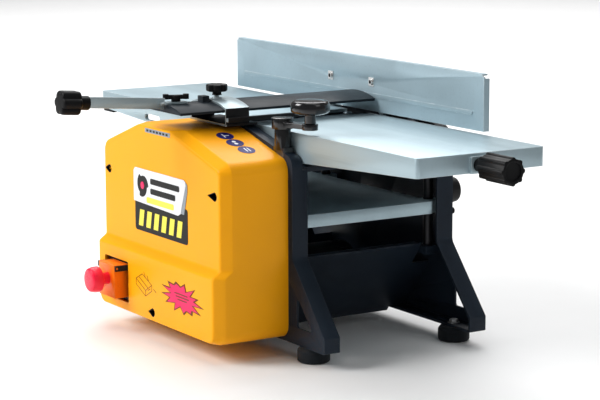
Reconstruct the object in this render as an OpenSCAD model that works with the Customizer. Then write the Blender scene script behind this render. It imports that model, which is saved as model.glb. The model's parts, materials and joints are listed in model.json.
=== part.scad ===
// Bench planer-thicknesser: surface tables above, a thicknessing table below the same cutter block.
// +X points to the infeed end, +Y to the fence, +Z up.  All lengths are in millimetres.
// Sizes below are measured from the cutter axis, the middle of the tables and the ground;
// place() then moves the whole machine so that its origin is the bottom centre of its box.

/* [Tables] */
// Length over both surface tables
table_len = 737; // [600:1:900]
// Width of the surface tables
table_w = 170; // [160:1:176]
// Height of the table tops above the ground
table_z = 260; // [260]
// Opening between the tables at the cutter
mouth_w = 51; // [50:1:56]
// Thickness of the table castings under their working face
table_t = 6; // [5:0.5:7]
// Depth of the skirt at the outer end of each table
skirt_end = 21.5; // [20:0.5:26]
// Depth of the skirt where it is deepest, near the frame
skirt_in = 36; // [33:1:37]

/* [Fence] */
// Length of the fence
fence_len = 554.5; // [400:0.5:600]
// Height of the fence plate
fence_h = 65.5; // [50:0.5:80]
// Gap between the fence and the tables
fence_gap = 3; // [3:0.5:6]

/* [Cutter and feed] */
// Radius of the knife edges
knife_r = 24.5; // [24.5]
// Length of the knives
knife_len = 152; // [140:1:154]
// Radius of the feed rollers
roller_r = 9; // [8:0.5:9]
// Distance of each feed roller from the cutter
roller_x = 52; // [50:1:54]

/* [Thicknessing table] */
// Length of the thicknessing table along the feed
bed_len = 279; // [240:1:280]
// Height of its top above the ground, as it stands
bed_z = 165; // [150:1:180]
// Thickness of its plate
bed_t = 15; // [12:1:15]

/* [Guard] */
// Width of the arched cutter guard
guard_w = 79; // [70:1:80]
// Height of the guard's edges above the tables
guard_gap = 15; // [15]
// Radius of the guard's arch
guard_r = 120; // [110:1:130]

/* [Frame] */
// Distance between the outer faces of the two side plates
frame_w = 226; // [226]
// Thickness of the plates' webs
web_t = 2.6; // [2:0.1:3]
// Width of the flange that runs round each plate
flange_w = 21; // [18:1:22]
// Length over the legs at the ground
base_len = 449; // [449]

/* [Hidden] */
$fn = 48;

// Colours
paint = [0.10, 0.12, 0.15];
plastic_black = [0.07, 0.07, 0.08];
yellow = [1.0, 0.74, 0.08];
alloy = [0.74, 0.78, 0.80];
steel = [0.62, 0.64, 0.66];
rubber = [0.12, 0.13, 0.14];
orange = [0.95, 0.42, 0.10];
red = [0.85, 0.05, 0.18];
green = [0.10, 0.55, 0.20];
brass = [0.80, 0.62, 0.25];

// Places that several pieces share
table_x = table_len / 2;
table_y = table_w / 2;
lip_x = mouth_w / 2;
near_y = 12 - frame_w / 2;
far_y = 12 + frame_w / 2;
near_in = near_y + web_t;
far_in = far_y - web_t;
mid_x = -12;
cutter_z = table_z - knife_r;
roller_z = cutter_z - knife_r - 1 + roller_r;
shaft_r = 6;
roller_shaft_r = 4;
run_gap = 0.05;
face_gap = 0.3;
plate_half = 156.5;
foot_z = 18;
plate_top = table_z - 0.5;
shoulder_z = 233;
knee_z = 116;
flange_t = 3;
column_x = 114.5;
column_r = 6;
pillar_x = column_x - 18;
near_column_y = -89;
far_column_y = 110;
crank_xy = [column_x, -95];
screw_r = 5;
beam_z = [213, 219];
bracket_z = [98, 108];
motor_z = 62;
motor_r = 38;
belt_y = [near_y - 19, near_y - 7];
chain_y = [far_y + 2.5, far_y + 5];
gear_y = [far_y + 7, far_y + 13];
idler_z = cutter_z - 45;
gear_module = 1.25;
sprocket_module = 1.6;
idler_teeth = 12;
roller_teeth = 30;
idler_sprocket_r = (idler_teeth / 2 + 0.85) * sprocket_module;
roller_sprocket_r = (roller_teeth / 2 + 0.85) * sprocket_module;
cover_out = near_y - 86;
bulge_out = cover_out - 10;
cover_t = 3;
gear_out = far_y + 18;
boss_out = far_y + 39;
fence_y = table_y;
fence_mid = -20.25;
fence_flange = 8;
fence_z = table_z + fence_gap;
fence_pin = [fence_y + 14, table_z + 4];
fence_bolt_x = [-63, 28.7];
fence_bolt_z = fence_z + 35.5;
guard_x = 1;
guard_edge_z = table_z + guard_gap + 4.8;
guard_c = guard_edge_z - sqrt(guard_r * guard_r - guard_w * guard_w / 4);
guard_t = 2.5;
crown_z = guard_c + guard_r;
guard_y = [-187, fence_y - 3];
band_y = [-129, -97.5];
post_x = 30;
post_y = -93;
post_r = 4;
star_y = -117;
wing_y = -172;
bar_tilt = 4.5;
bar_start = [guard_y[0] - 1, guard_c + guard_r + 1.5];
bar_len = 98;
depth_y = -7;
depth_z = table_z - 12;
anvil_x = column_x + 6;
cam_r = 6.5;
cam_off = 1.5;
knob_end = table_x + 64;
pawl_x = -82;
pawl_z = 226;
switch_x = [-142, -80];
switch_z = [35, 86];
flap_x = [-127, -86];
flap_z = [41, 82];
flap_y = [-213, -192.5];
flap_pin = [-210.5, 78.5];
stop_xz = [-104, 64];
start_z = 51;
guard_knob_len = 31.6;
guard_knob_r = 15;
guard_lobe_r = 4.5;
knob_drop = 1;
// the furthest point of the tilted knob towards -Y
guard_knob_end = bar_start.x - (bar_len + face_gap + guard_knob_len + 5) * cos(bar_tilt)
    - (knob_drop + (guard_knob_r - guard_lobe_r) * sin(60) + guard_lobe_r) * sin(bar_tilt);
shift = [-(knob_end - table_x) / 2, -(guard_knob_end + boss_out) / 2, 0];

// ---- helpers -------------------------------------------------------------------------------

module place() translate(shift) children();

// a block between two corners, given as ranges
module box(x, y, z) translate([x[0], y[0], z[0]]) cube([x[1] - x[0], y[1] - y[0], z[1] - z[0]]);

// an outline in X and Z, drawn out along Y
module along_y(y) translate([0, y[1], 0]) rotate([90, 0, 0]) linear_extrude(y[1] - y[0]) children();

// an outline in Y and Z, drawn out along X
module along_x(x) translate([x[0], 0, 0]) rotate([90, 0, 90]) linear_extrude(x[1] - x[0]) children();

module rod_y(xz, r, y) along_y(y) translate(xz) circle(r);
module rod_x(yz, r, x) along_x(x) translate(yz) circle(r);
module rod_z(xy, r, z) translate([xy[0], xy[1], z[0]]) cylinder(r = r, h = z[1] - z[0]);

// a hexagon head or nut on an axis along Y
module hex_y(xz, r, y) along_y(y) translate(xz) circle(r, $fn = 6);

function unit(v) = v / norm(v);
function left(v) = [-v.y, v.x];
function turned(v, a) = [v.x * cos(a) - v.y * sin(a), v.x * sin(a) + v.y * cos(a)];
function around(p, i) = p[(i + len(p)) % len(p)];

// an outline moved inwards by d, its corners mitred; the points run anticlockwise
function inset(p, d) = [for (i = [0 : len(p) - 1])
    let (n1 = left(unit(p[i] - around(p, i - 1))), n2 = left(unit(around(p, i + 1) - p[i])))
    p[i] + d * (n1 + n2) / (1 + n1 * n2)];

// the points of the arc of radius r that rounds corner b between a and c
function arc_at(a, b, c, r, n) =
    let (u = unit(b - a), v = unit(c - b), turn = acos(u * v), s = sign(u.x * v.y - u.y * v.x),
         start = b - u * r * tan(turn / 2), mid = start + left(u) * r * s)
    [for (k = [0 : n]) mid + turned(start - mid, s * turn * k / n)];

// an outline with each corner rounded by its own radius; a radius of 0 keeps the corner
function rounded(p, r, n = 5) = [for (i = [0 : len(p) - 1])
    each (r[i] > 0 ? arc_at(around(p, i - 1), p[i], around(p, i + 1), r[i], n) : [p[i]])];

// a rounded outline moved inwards by d, its corners rounded less by as much
function shrunk(p, r, d) = rounded(inset(p, d), [for (k = r) max(k - d, 0.8)]);

function rect(x, z) = [[x[0], z[0]], [x[1], z[0]], [x[1], z[1]], [x[0], z[1]]];

// the outline of a band stretched round circles [x, z, r], given anticlockwise
function band(c, grow, n = 18) = [for (i = [0 : len(c) - 1])
    let (a = leaving(around(c, i - 1), c[i]), b0 = leaving(c[i], around(c, i + 1)),
         b = b0 < a ? b0 + 360 : b0)
    for (k = [0 : n]) let (t = a + (b - a) * k / n)
    [c[i].x, c[i].y] + (c[i].z + grow) * [cos(t), sin(t)]];

// the direction of the outer tangent point on both circles, from one to the next
function leaving(p, q) =
    let (d = [q.x - p.x, q.y - p.y]) atan2(d.y, d.x) - acos((p.z - q.z) / norm(d));

// spur gear outline: straight-sided teeth with running backlash
module gear_outline(teeth, m, turn = 0) {
    pitch = teeth * m / 2;
    step = 360 / teeth;
    polygon([for (i = [0 : teeth - 1]) for (c = [[-0.34, -1.2], [-0.13, 0.85], [0.13, 0.85], [0.34, -1.2]])
        let (a = turn + step * (i + c[0])) (pitch + c[1] * m) * [cos(a), sin(a)]]);
}

// round knob with lobes, drawn out along Z from 0 to h
module lobed(r, lobes, lobe_r, h) linear_extrude(h) {
    circle(r - lobe_r * 0.6);
    for (i = [0 : lobes - 1]) rotate(360 * i / lobes) translate([r - lobe_r, 0]) circle(lobe_r);
}

// ---- side plates ----------------------------------------------------------------------------

plate_pts = [[mid_x - base_len / 2, foot_z], [mid_x + base_len / 2, foot_z],
    [mid_x + base_len / 2, foot_z + 18], [mid_x + plate_half, knee_z],
    [mid_x + plate_half, shoulder_z], [mid_x + 46, plate_top], [mid_x - 52, plate_top],
    [mid_x - plate_half, shoulder_z], [mid_x - plate_half, knee_z],
    [mid_x - base_len / 2, foot_z + 18]];
plate_radii = [2, 2, 3, 12, 14, 8, 8, 14, 12, 3];
foot_x = [mid_x - 180, mid_x + 180];
foot_y = [near_y + 14, far_y - 14];
bench_x = [mid_x - 148, mid_x + 148];
bench_y = [near_y + 11, far_y - 11];
foot_r = 19;
tie_spots = [[-54, 32], [32, 32]];

module plate_holes() {
    for (side = [0, 1]) translate([mid_x, 0]) mirror([side, 0])
        polygon(rounded([[166, 38], [200, 38], [166, 76]], [3, 3, 3]));
    translate([0, cutter_z]) circle(15 + run_gap);
    for (x = [-roller_x, roller_x]) translate([x, roller_z]) circle(roller_shaft_r + run_gap);
    for (s = tie_spots) translate(s) circle(4 + run_gap);
}

module side_plate(web_y, rim_y) {
    outline = rounded(plate_pts, plate_radii);
    difference() {
        union() {
            along_y(web_y) difference() {
                polygon(outline);
                plate_holes();
            }
            along_y(rim_y) difference() {
                polygon(outline);
                polygon(shrunk(plate_pts, plate_radii, flange_t));
            }
        }
        for (x = foot_x, y = foot_y) rod_z([x, y], 3.1, [foot_z - 1, foot_z + flange_t + 1]);
        for (x = bench_x, y = bench_y) rod_z([x, y], 4.25, [foot_z - 1, foot_z + flange_t + 1]);
    }
}

module near_side_plate() color(paint) place() difference() {
    side_plate([near_y, near_in], [near_in, near_y + flange_w]);
    // the flange stands clear of the tables that pass inside it
    box([-400, 400], [-table_y - 1.5, near_y + flange_w + 1], [shoulder_z - 14, table_z]);
    // the lift nut runs in this slot, and the crank post sits above it
    box([column_x - 14.5, column_x + 14.5], [near_y - 1, near_in + 1], [bracket_z[0], 222]);
    box([crank_xy.x - 11, crank_xy.x + 11], [near_y - 1, -80], [beam_z[1], table_z]);
    for (x = [-post_x, post_x]) rod_z([guard_x + x, post_y], post_r + run_gap, [table_z - 10, table_z + 1]);
    rod_y([0, motor_z], 20, [near_y - 1, near_in + 1]);
}

module far_side_plate() color(paint) place() difference() {
    side_plate([far_in, far_y], [far_y - flange_w - 2, far_in]);
    // the fence's lugs turn in this notch
    box([ear_x[0] - 2, ear_x[1] + 7], [far_y - flange_w - 3, fence_pin.x + 9], [table_z - 14, table_z]);
}

// ---- panels and cross members -----------------------------------------------------------------

panel_top = [118, 111];
panel_low = [45, 16];

module slanted_panel() difference() {
    along_y([near_in, far_in]) {
        u = unit(panel_top - panel_low);
        polygon([panel_low, panel_low + 2 * [u.y, -u.x], panel_top + 2 * [u.y, -u.x], panel_top]);
        translate(panel_top - [14, 2]) square([15, 2]);
    }
    for (y = [[near_in - 1, near_y + flange_w + 1], [far_y - flange_w - 7, far_in + 1]]) {
        box([90, 140], y, [bracket_z[0] - 14, 130]);
        box([30, 60], y, [10, foot_z + flange_t + 0.3]);
    }
}

module infeed_panel() color(paint) place() slanted_panel();

module outfeed_panel() color(paint) place() translate([2 * mid_x, 0, 0]) mirror([1, 0, 0]) slanted_panel();

module tie_rods() color(steel) place() for (s = tie_spots) {
    rod_y(s, 4, [near_y - 4, far_y + 4]);
    hex_y(s, 7, [near_y - 4, near_y]);
    hex_y(s, 7, [far_y, far_y + 4]);
}

module rubber_feet() color(rubber) place() for (x = foot_x, y = foot_y) difference() {
    translate([x, y, 0]) rotate_extrude() polygon([[0, 0], [foot_r - 2, 0], [foot_r, 2],
        [foot_r, foot_z - 4], [foot_r - 3, foot_z], [0, foot_z]]);
    rod_z([x, y], 3.1, [6, foot_z + 1]);
}

module foot_screws() color(steel) place() for (x = foot_x, y = foot_y) {
    rod_z([x, y], 3, [6.5, foot_z + flange_t + 3]);
    translate([x, y, foot_z + flange_t]) cylinder(r = 5.5, h = 4, $fn = 6);
}

// the beams carry the tables' pillars and hold the heads of the columns
module cross_beams() color(steel) place() difference() {
    union() {
        for (x = [-column_x, column_x]) box([x - 12, x + 12], [near_in, far_in], beam_z);
        for (y = [-60, 60]) {
            box([-column_x, -pillar_x + 8], [y - 8, y + 8], beam_z);
            rod_z([-pillar_x, y], 7, [beam_z[1], table_z - table_t]);
            box([pillar_x - 8, column_x], [y - 8, y + 8], beam_z);
            rod_z([pillar_x, y], 4, [beam_z[1], table_z - table_t - 8]);
        }
        box([anvil_x - 4, anvil_x + 4], [depth_y - 6, depth_y + 6],
            [beam_z[1], depth_z - cam_r - cam_off - 0.4]);
    }
    rod_z(crank_xy, screw_r + run_gap, [beam_z[0] - 1, beam_z[1] + 1]);
    rod_z([-column_x, near_column_y], column_r, [beam_z[0] - 1, beam_z[1] + 1]);
    for (x = [-column_x, column_x]) rod_z([x, far_column_y], column_r, [beam_z[0] - 1, beam_z[1] + 1]);
}

column_spots = [[-column_x, near_column_y], [-column_x, far_column_y], [column_x, far_column_y]];

module guide_columns() color(steel) place()
    for (c = column_spots) rod_z(c, column_r, [bracket_z[0], beam_z[1]]);

module column_brackets() color(steel) place() difference() {
    union() {
        box([-column_x - 12, -column_x + 12], [near_in, near_y + 23], bracket_z);
        for (x = [-column_x, column_x]) box([x - 12, x + 12], [far_y - 26, far_in], bracket_z);
        box([column_x - 19, column_x + 19], [near_in, near_y + 20], bracket_z);
        box([column_x - 14, column_x + 14], [near_y - 4, near_in], bracket_z);
    }
    for (c = column_spots) rod_z(c, column_r, [bracket_z[0] - 1, bracket_z[1] + 1]);
    rod_z(crank_xy, screw_r + run_gap, [bracket_z[0] + 2, bracket_z[1] + 1]);
}

// ---- belt cover, gear cover and switch ----------------------------------------------------------

cover_pts = [[-160, 22], [136, 22], [136, 229], [28, 258], [-68, 258], [-160, 226]];
cover_radii = [16, 16, 16, 18, 18, 16];
bulge_pts = [[-160, 22], [136, 22], [136, 106], [-160, 106]];
bulge_radii = [16, 16, 3, 3];

// a slab of the outline between two depths, thinned by d all round
module slab(pts, radii, d, y) along_y(y) polygon(shrunk(pts, radii, d));

module cover_solid(d) {
    hull() {
        slab(cover_pts, cover_radii, d, [cover_out + 9 + d * 0.6, near_y - 0.2 + d]);
        slab(cover_pts, cover_radii, 2.6 + d, [cover_out + 2.6 + d, cover_out + 9 + d]);
        slab(cover_pts, cover_radii, 8 + d, [cover_out + d, cover_out + 3 + d]);
    }
    hull() {
        slab(bulge_pts, bulge_radii, d, [bulge_out + 9 + d * 0.6, near_y - 40]);
        slab(rect_low, bulge_radii, 2.6 + d, [bulge_out + 2.6 + d, bulge_out + 9 + d]);
        slab(rect_low, bulge_radii, 7 + d, [bulge_out + d, bulge_out + 3 + d]);
    }
}
rect_low = [[-160, 22], [136, 22], [136, 103], [-160, 103]];

screw_spots = [[-149, 192], [115, 193], [-17.5, 34]];
function screw_face(s) = s[1] < 100 ? bulge_out : cover_out;

module belt_cover() color(yellow) place() difference() {
    cover_solid(0);
    difference() {
        cover_solid(cover_t);
        for (s = screw_spots) rod_y(s, 9, [screw_face(s), near_y - 14]);
    }
    for (s = screw_spots) {
        rod_y(s, 5.5, [screw_face(s) - 1, screw_face(s) + 12]);
        rod_y(s, 2.6, [screw_face(s) - 1, near_y - 10]);
    }
    box(switch_x, [bulge_out - 1, near_y - 60], switch_z);
    rod_x([near_y - 30, 60], 8, [-165, -150]);
}

module cover_screws() color(steel) place() {
    for (s = screw_spots) {
        rod_y(s, 2.5, [screw_face(s) + 12, near_y - 16]);
        rod_y(s, 4.6, [screw_face(s) + 9, screw_face(s) + 12]);
    }
    for (s = gear_screw_spots) rod_y(s, 4, [gear_out, gear_out + 2.4]);
}

gear_pts = rect([-104, 122], [128, 254]);
gear_radii = [20, 20, 24, 24];
gear_screw_spots = [[-88, 144], [-88, 238], [106, 144], [106, 238]];

module gear_cover() color(plastic_black) place() difference() {
    union() {
        hull() {
            slab(gear_pts, gear_radii, 0, [far_y, gear_out - 4]);
            slab(gear_pts, gear_radii, 4, [gear_out - 5, gear_out]);
        }
        translate([96, gear_out, 168]) rotate([-90, 0, 0]) rotate_extrude()
            polygon([[0, -2], [18, -2], [17.5, 3], [15, boss_out - gear_out - 2], [10, boss_out - gear_out],
                [0, boss_out - gear_out]]);
    }
    slab(gear_pts, gear_radii, 3, [far_y - 1, gear_out - 3]);
}

module switch_box() color(plastic_black) place() {
    difference() {
        box([switch_x[0] + 0.5, switch_x[1] - 0.5], [flap_y[1] + 0.5, near_y - 55],
            [switch_z[0] + 0.5, switch_z[1] - 0.5]);
        rod_y([stop_xz.x, start_z], 5 + run_gap, [flap_y[1], flap_y[1] + 8]);
    }
    difference() {
        for (x = [flap_x[0] - 3.5, flap_x[1] + 0.5])
            box([x, x + 3], [flap_y[0] + 0.5, flap_y[1] + 0.5], [flap_pin.y - 3.5, flap_pin.y + 3]);
        rod_x(flap_pin, 1.5 + run_gap, [flap_x[0] - 5, flap_x[1] + 5]);
    }
}

module switch_flap() color(orange) place() difference() {
    union() {
        box(flap_x, flap_y, flap_z);
        rod_x(flap_pin, 1.5, [flap_x[0] - 3.4, flap_x[1] + 3.4]);
    }
    box([flap_x[0] + 2.5, flap_x[1] - 2.5], [flap_y[0] + 2.5, flap_y[1] + 1],
        [flap_z[0] + 2.5, flap_z[1] - 8]);
    rod_y(stop_xz, 7 + run_gap, [flap_y[0] - 1, flap_y[0] + 4]);
}

module stop_button() color(red) place() translate([stop_xz.x, flap_y[0], stop_xz.y]) rotate([90, 0, 0])
    rotate_extrude() polygon([[0, -8], [10, -8], [10, -3.2], [7, -3.2], [7, 11.5], [14.8, 11.5],
        [15.8, 12.8], [15.6, 19], [14.4, 24], [13.2, 25.4], [8, 26], [0, 26]]);

module start_button() color(green) place() rod_y([stop_xz.x, start_z], 5, [flap_y[1] - 4, flap_y[1] + 4]);

module cable_gland() color(plastic_black) place() rod_x([near_y - 30, 60], 7.9, [-168, -152]);

// ---- motor and belt -----------------------------------------------------------------------------

module motor_housing() color(plastic_black) place() difference() {
    rod_y([0, motor_z], motor_r, [near_in, 62]);
    rod_y([0, motor_z], motor_r - 4, [near_in + 4, 58]);
    rod_y([0, motor_z], 5 + run_gap, [near_in - 1, 63]);
    for (i = [0 : 9]) translate([0, 0, motor_z]) rotate([0, 36 * i, 0])
        box([-4, 4], [44, 54], [motor_r - 8, motor_r + 2]);
}

module motor_armature() color(steel) place() {
    rod_y([0, motor_z], 5, [belt_y[0] - 3, 61]);
    rod_y([0, motor_z], 24, [near_in + 18, 36]);
    for (i = [0 : 8]) translate([0, 0, motor_z]) rotate([0, 40 * i, 0]) box([-1, 1], [42, 54], [4, 31]);
}

module grooved(r, xz, y, bore) difference() {
    translate([xz[0], y[1], xz[1]]) rotate([90, 0, 0]) rotate_extrude()
        polygon(concat([[bore, 0]], [for (k = [0 : 8]) [r - (k % 2) * 1.2, (y[1] - y[0]) * k / 8]],
            [[bore, y[1] - y[0]]]));
}

module motor_pulley() color(alloy) place() grooved(18, [0, motor_z], belt_y, 5);
module cutter_pulley() color(alloy) place() grooved(14, [0, cutter_z], belt_y, shaft_r);

module drive_belt() color(rubber) place() {
    loop = [[0, motor_z, 18], [0, cutter_z, 14]];
    along_y([belt_y[0] + 1, belt_y[1] - 1]) difference() {
        polygon(band(loop, 2.6));
        polygon(band(loop, face_gap));
    }
}

// ---- cutter ---------------------------------------------------------------------------------------

module cutter_block() color(steel) place() difference() {
    union() {
        rod_y([0, cutter_z], 23, [-knife_len / 2 - 1, knife_len / 2 + 1]);
        rod_y([0, cutter_z], shaft_r, [belt_y[0] - 3, gear_y[0] - 1]);
        along_y([gear_y[0] - 1, gear_y[1]]) translate([0, cutter_z]) gear_outline(12, gear_module);
    }
    for (a = [0, 180]) translate([0, 0, cutter_z]) rotate([0, a, 0])
        along_y([-knife_len / 2 - 2, knife_len / 2 + 2]) polygon([[-3, 12], [9, 12], [12, 24], [-3, 24]]);
}

module knives() color(alloy) place() for (a = [0, 180]) translate([0, 0, cutter_z]) rotate([0, a, 0])
    along_y([-knife_len / 2, knife_len / 2]) polygon([[-3, 12], [0, 12], [0, 22], [-2.95, knife_r - 0.2]]);

module knife_gibs() color(steel) place() for (a = [0, 180]) translate([0, 0, cutter_z]) rotate([0, a, 0])
    difference() {
        along_y([-knife_len / 2, knife_len / 2]) polygon([[0, 12], [8.6, 12], [9.4, 19.5], [0, 20.5]]);
        for (y = [-60 : 30 : 60]) translate([5, y, 16]) rotate([0, 40, 0]) cylinder(r = 2.4, h = 12);
    }

module cutter_bearings() color(steel) place()
    for (y = [[near_in - 5, near_in + 7], [far_in - 7, far_in + 4.6]]) difference() {
        rod_y([0, cutter_z], 15, y);
        rod_y([0, cutter_z], shaft_r + run_gap, [y[0] - 1, y[1] + 1]);
    }

// ---- feed drive -----------------------------------------------------------------------------------

module idler_gear() color(plastic_black) place() difference() {
    union() {
        along_y(gear_y) translate([0, idler_z]) gear_outline(60, gear_module, 3);
        along_y([chain_y[0] - 1, gear_y[0]]) translate([0, idler_z]) circle(idler_sprocket_r - 1);
        along_y(chain_y) translate([0, idler_z]) gear_outline(idler_teeth, sprocket_module);
    }
    rod_y([0, idler_z], 4 + run_gap, [far_y, gear_out]);
}

module idler_axle() color(steel) place() {
    rod_y([0, idler_z], 4, [far_y, gear_y[1] + 1.5]);
    rod_y([0, idler_z], 8, [far_y, far_y + 1.2]);
}

module feed_sprocket(x) difference() {
    along_y(chain_y) translate([x, roller_z]) gear_outline(roller_teeth, sprocket_module);
    rod_y([x, roller_z], roller_shaft_r, [far_y, gear_out]);
    for (a = [0 : 60 : 300]) along_y([far_y, gear_out])
        translate([x, roller_z] + 14 * [cos(a), sin(a)]) circle(4);
}

module ribbed_roller_sprocket() color(steel) place() feed_sprocket(-roller_x);
module smooth_roller_sprocket() color(steel) place() feed_sprocket(roller_x);

module feed_chain() color(steel) place() {
    loop = [[0, idler_z, idler_sprocket_r], [roller_x, roller_z, roller_sprocket_r],
        [-roller_x, roller_z, roller_sprocket_r]];
    along_y(chain_y) difference() {
        polygon(band(loop, 2.4));
        polygon(band(loop, face_gap));
    }
}

module ribbed_roller() color(steel) place() {
    rod_y([-roller_x, roller_z], roller_shaft_r, [near_y - 2, chain_y[1] + 1]);
    along_y([-knife_len / 2, knife_len / 2]) translate([-roller_x, roller_z]) difference() {
        circle(roller_r);
        for (i = [0 : 15]) rotate(22.5 * i) translate([roller_r, 0]) circle(0.9, $fn = 6);
    }
}

module smooth_roller() color(rubber) place() {
    rod_y([roller_x, roller_z], roller_shaft_r, [near_y - 2, chain_y[1] + 1]);
    rod_y([roller_x, roller_z], roller_r, [-knife_len / 2, knife_len / 2]);
}

module pawl_rod() color(steel) place() rod_y([pawl_x, pawl_z], 3, [near_in, far_in]);

module kickback_pawls() color(steel) place() for (y = [-70 : 10 : 70]) difference() {
    along_y([y - 3.5, y + 3.5]) translate([pawl_x, pawl_z]) {
        circle(6);
        polygon([[-6, 0], [6, 0], [5, -12], [-3, -19], [-6, -19]]);
    }
    rod_y([pawl_x, pawl_z], 3 + run_gap, [y - 4, y + 4]);
}

module chip_deflector() color(paint) place() along_y([-84, far_in])
    polygon([[31, 214], [32.6, 213.6], [36.6, 228], [35, 228.4]]);

// ---- surface tables ---------------------------------------------------------------------------------

// one table, drawn on the +X side: a plate with a skirt that deepens towards the frame
module table_casting(slotted) {
    over = 1;
    skirt = [[100, table_z - 22], [100, table_z - skirt_in], [table_x + over, table_z - skirt_end],
        [table_x + over, table_z - 1], [lip_x + 6, table_z - 1], [lip_x + 6, table_z - 22]];
    difference() {
        // everything is drawn a little over size, then trimmed to the rounded outline
        intersection() {
            union() {
                box([lip_x - over, table_x + over], [-table_y - over, table_y + over],
                    [table_z - table_t, table_z]);
                for (y = [[-table_y - over, -table_y + 5], [table_y - 5, table_y + over]]) along_y(y)
                    polygon(skirt);
                box([table_x - 5, table_x + over], [-table_y + 4, table_y - 4],
                    [table_z - skirt_end, table_z - 2]);
                for (x = [180, 250, 315])
                    box([x, x + 4], [-table_y + 4, table_y - 4], [table_z - 17, table_z - 4]);
                along_y([-table_y - over, table_y + over])
                    polygon([[lip_x - over, table_z - table_t + 1], [lip_x, table_z - table_t],
                        [lip_x + 9, table_z - 13], [lip_x + 14, table_z - 13],
                        [lip_x + 14, table_z - table_t + 1]]);
            }
            translate([0, 0, table_z - 60]) linear_extrude(60 + over)
                polygon(rounded([[lip_x, -table_y], [table_x, -table_y], [table_x, table_y],
                    [lip_x, table_y]], [0, 5, 5, 0], 8));
        }
        if (slotted) for (s = [-1, 1]) along_y([s * table_y - 6, s * table_y + 6])
            polygon(rounded(rect([204, 244], [table_z - 25.5, table_z - 17.5]), [3, 3, 3, 3]));
    }
}

module outfeed_table() color(alloy) place() mirror([1, 0, 0]) table_casting(true);

module outfeed_bumpers() color(rubber) place() for (s = [-1, 1])
    box([-table_x + 5, -table_x + 32], [s * (table_y - 3.5) - 3, s * (table_y - 3.5) + 3],
        [table_z - skirt_end - 5, table_z - skirt_end - 1.7]);

module infeed_table() color(alloy) place() difference() {
    union() {
        table_casting(false);
        for (y = [-60, 60]) rod_z([pillar_x, y], 8, [table_z - 30, table_z - table_t + 1]);
        box([table_x - 9, table_x + 4], [depth_y - 10, depth_y + 10], [table_z - skirt_end, table_z - 3]);
    }
    for (y = [-60, 60]) rod_z([pillar_x, y], 4 + run_gap, [table_z - 31, table_z - table_t - 1]);
    rod_x([depth_y, depth_z], 4 + run_gap, [100, table_x + 10]);
    rod_x([depth_y, depth_z], cam_r + cam_off + 0.4, [anvil_x - 5, anvil_x + 5]);
}

module depth_shaft() color(steel) place() {
    rod_x([depth_y, depth_z], 4, [anvil_x - 8, table_x + 22]);
    rod_x([depth_y, depth_z - cam_off], cam_r, [anvil_x - 4, anvil_x + 4]);
}

module depth_knob() color(plastic_black) place()
    translate([table_x + 4.3, depth_y, depth_z]) rotate([0, 90, 0]) difference() {
        union() {
            cylinder(r = 7.5, h = 17);
            translate([0, 0, 15]) lobed(15.5, 8, 3, knob_end - table_x - 4.3 - 15);
        }
        translate([0, 0, -1]) cylinder(r = 4, h = 17.7 + 1);
        translate([0, 0, knob_end - table_x - 4.3 - 2]) cylinder(r = 10.5, h = 3);
    }

// ---- thicknessing table ---------------------------------------------------------------------------

bed_y = [near_y + 23, far_y - 25];

module thickness_bed() color(alloy) place() difference() {
    union() {
        translate([0, 0, bed_z - bed_t]) linear_extrude(bed_t) polygon(rounded([[-bed_len / 2, bed_y[0]],
            [bed_len / 2, bed_y[0]], [bed_len / 2, bed_y[1]], [-bed_len / 2, bed_y[1]]], [3, 3, 3, 3]));
        box([column_x - 13, column_x + 13], [near_y - 7, bed_y[0] + 1], [bed_z - bed_t - 2, bed_z - 1]);
        box([-column_x - 11, -column_x + 11], [near_in + 0.6, bed_y[0] + 1], [bed_z - bed_t - 2, bed_z - 1]);
        for (x = [-column_x, column_x])
            box([x - 11, x + 11], [bed_y[1] - 1, far_in - 2], [bed_z - bed_t - 2, bed_z - 1]);
    }
    for (c = column_spots) rod_z(c, column_r + run_gap, [bed_z - bed_t - 3, bed_z]);
    rod_z(crank_xy, 8, [bed_z - bed_t - 3, bed_z]);
    for (x = [-90 : 60 : 90], y = [-44, 11, 66])
        box([x - 26, x + 26], [y - 24, y + 24], [bed_z - bed_t - 1, bed_z - 6]);
}

module lift_nut() color(brass) place() difference() {
    rod_z(crank_xy, 8, [bed_z - bed_t - 2, bed_z - 1]);
    rod_z(crank_xy, screw_r + run_gap, [bed_z - bed_t - 3, bed_z]);
}

// ---- crank --------------------------------------------------------------------------------------------

arm_turn = 14;
arm_len = 44;
arm_end = crank_xy + arm_len * [cos(arm_turn), sin(arm_turn)];

module crank_post() color(plastic_black) place() difference() {
    union() {
        box([crank_xy.x - 10.9, crank_xy.x + 10.9], [near_y, -table_y - 1.5], [beam_z[1], shoulder_z + 10]);
        rod_z(crank_xy, 9.4, [shoulder_z + 7, table_z + 4]);
    }
    rod_z(crank_xy, screw_r + run_gap, [beam_z[1] - 1, table_z + 5]);
}

module lift_screw() color(steel) place() rod_z(crank_xy, screw_r, [bracket_z[0] + 2.1, table_z + 9]);

module crank_arm() color(plastic_black) place() difference() {
    union() {
        rod_z(crank_xy, 12.5, [table_z + 4.4, table_z + 17]);
        translate([crank_xy.x, crank_xy.y, table_z + 7]) rotate([0, 0, arm_turn])
            linear_extrude(5.5) polygon([[0, -9], [arm_len, -6.5], [arm_len, 6.5], [0, 9]]);
        rod_z(arm_end, 9, [table_z + 6.4, table_z + 13]);
        rod_z(arm_end, 4.5, [table_z + 12, table_z + 34]);
    }
    rod_z(crank_xy, screw_r, [table_z + 4, table_z + 9]);
}

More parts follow.
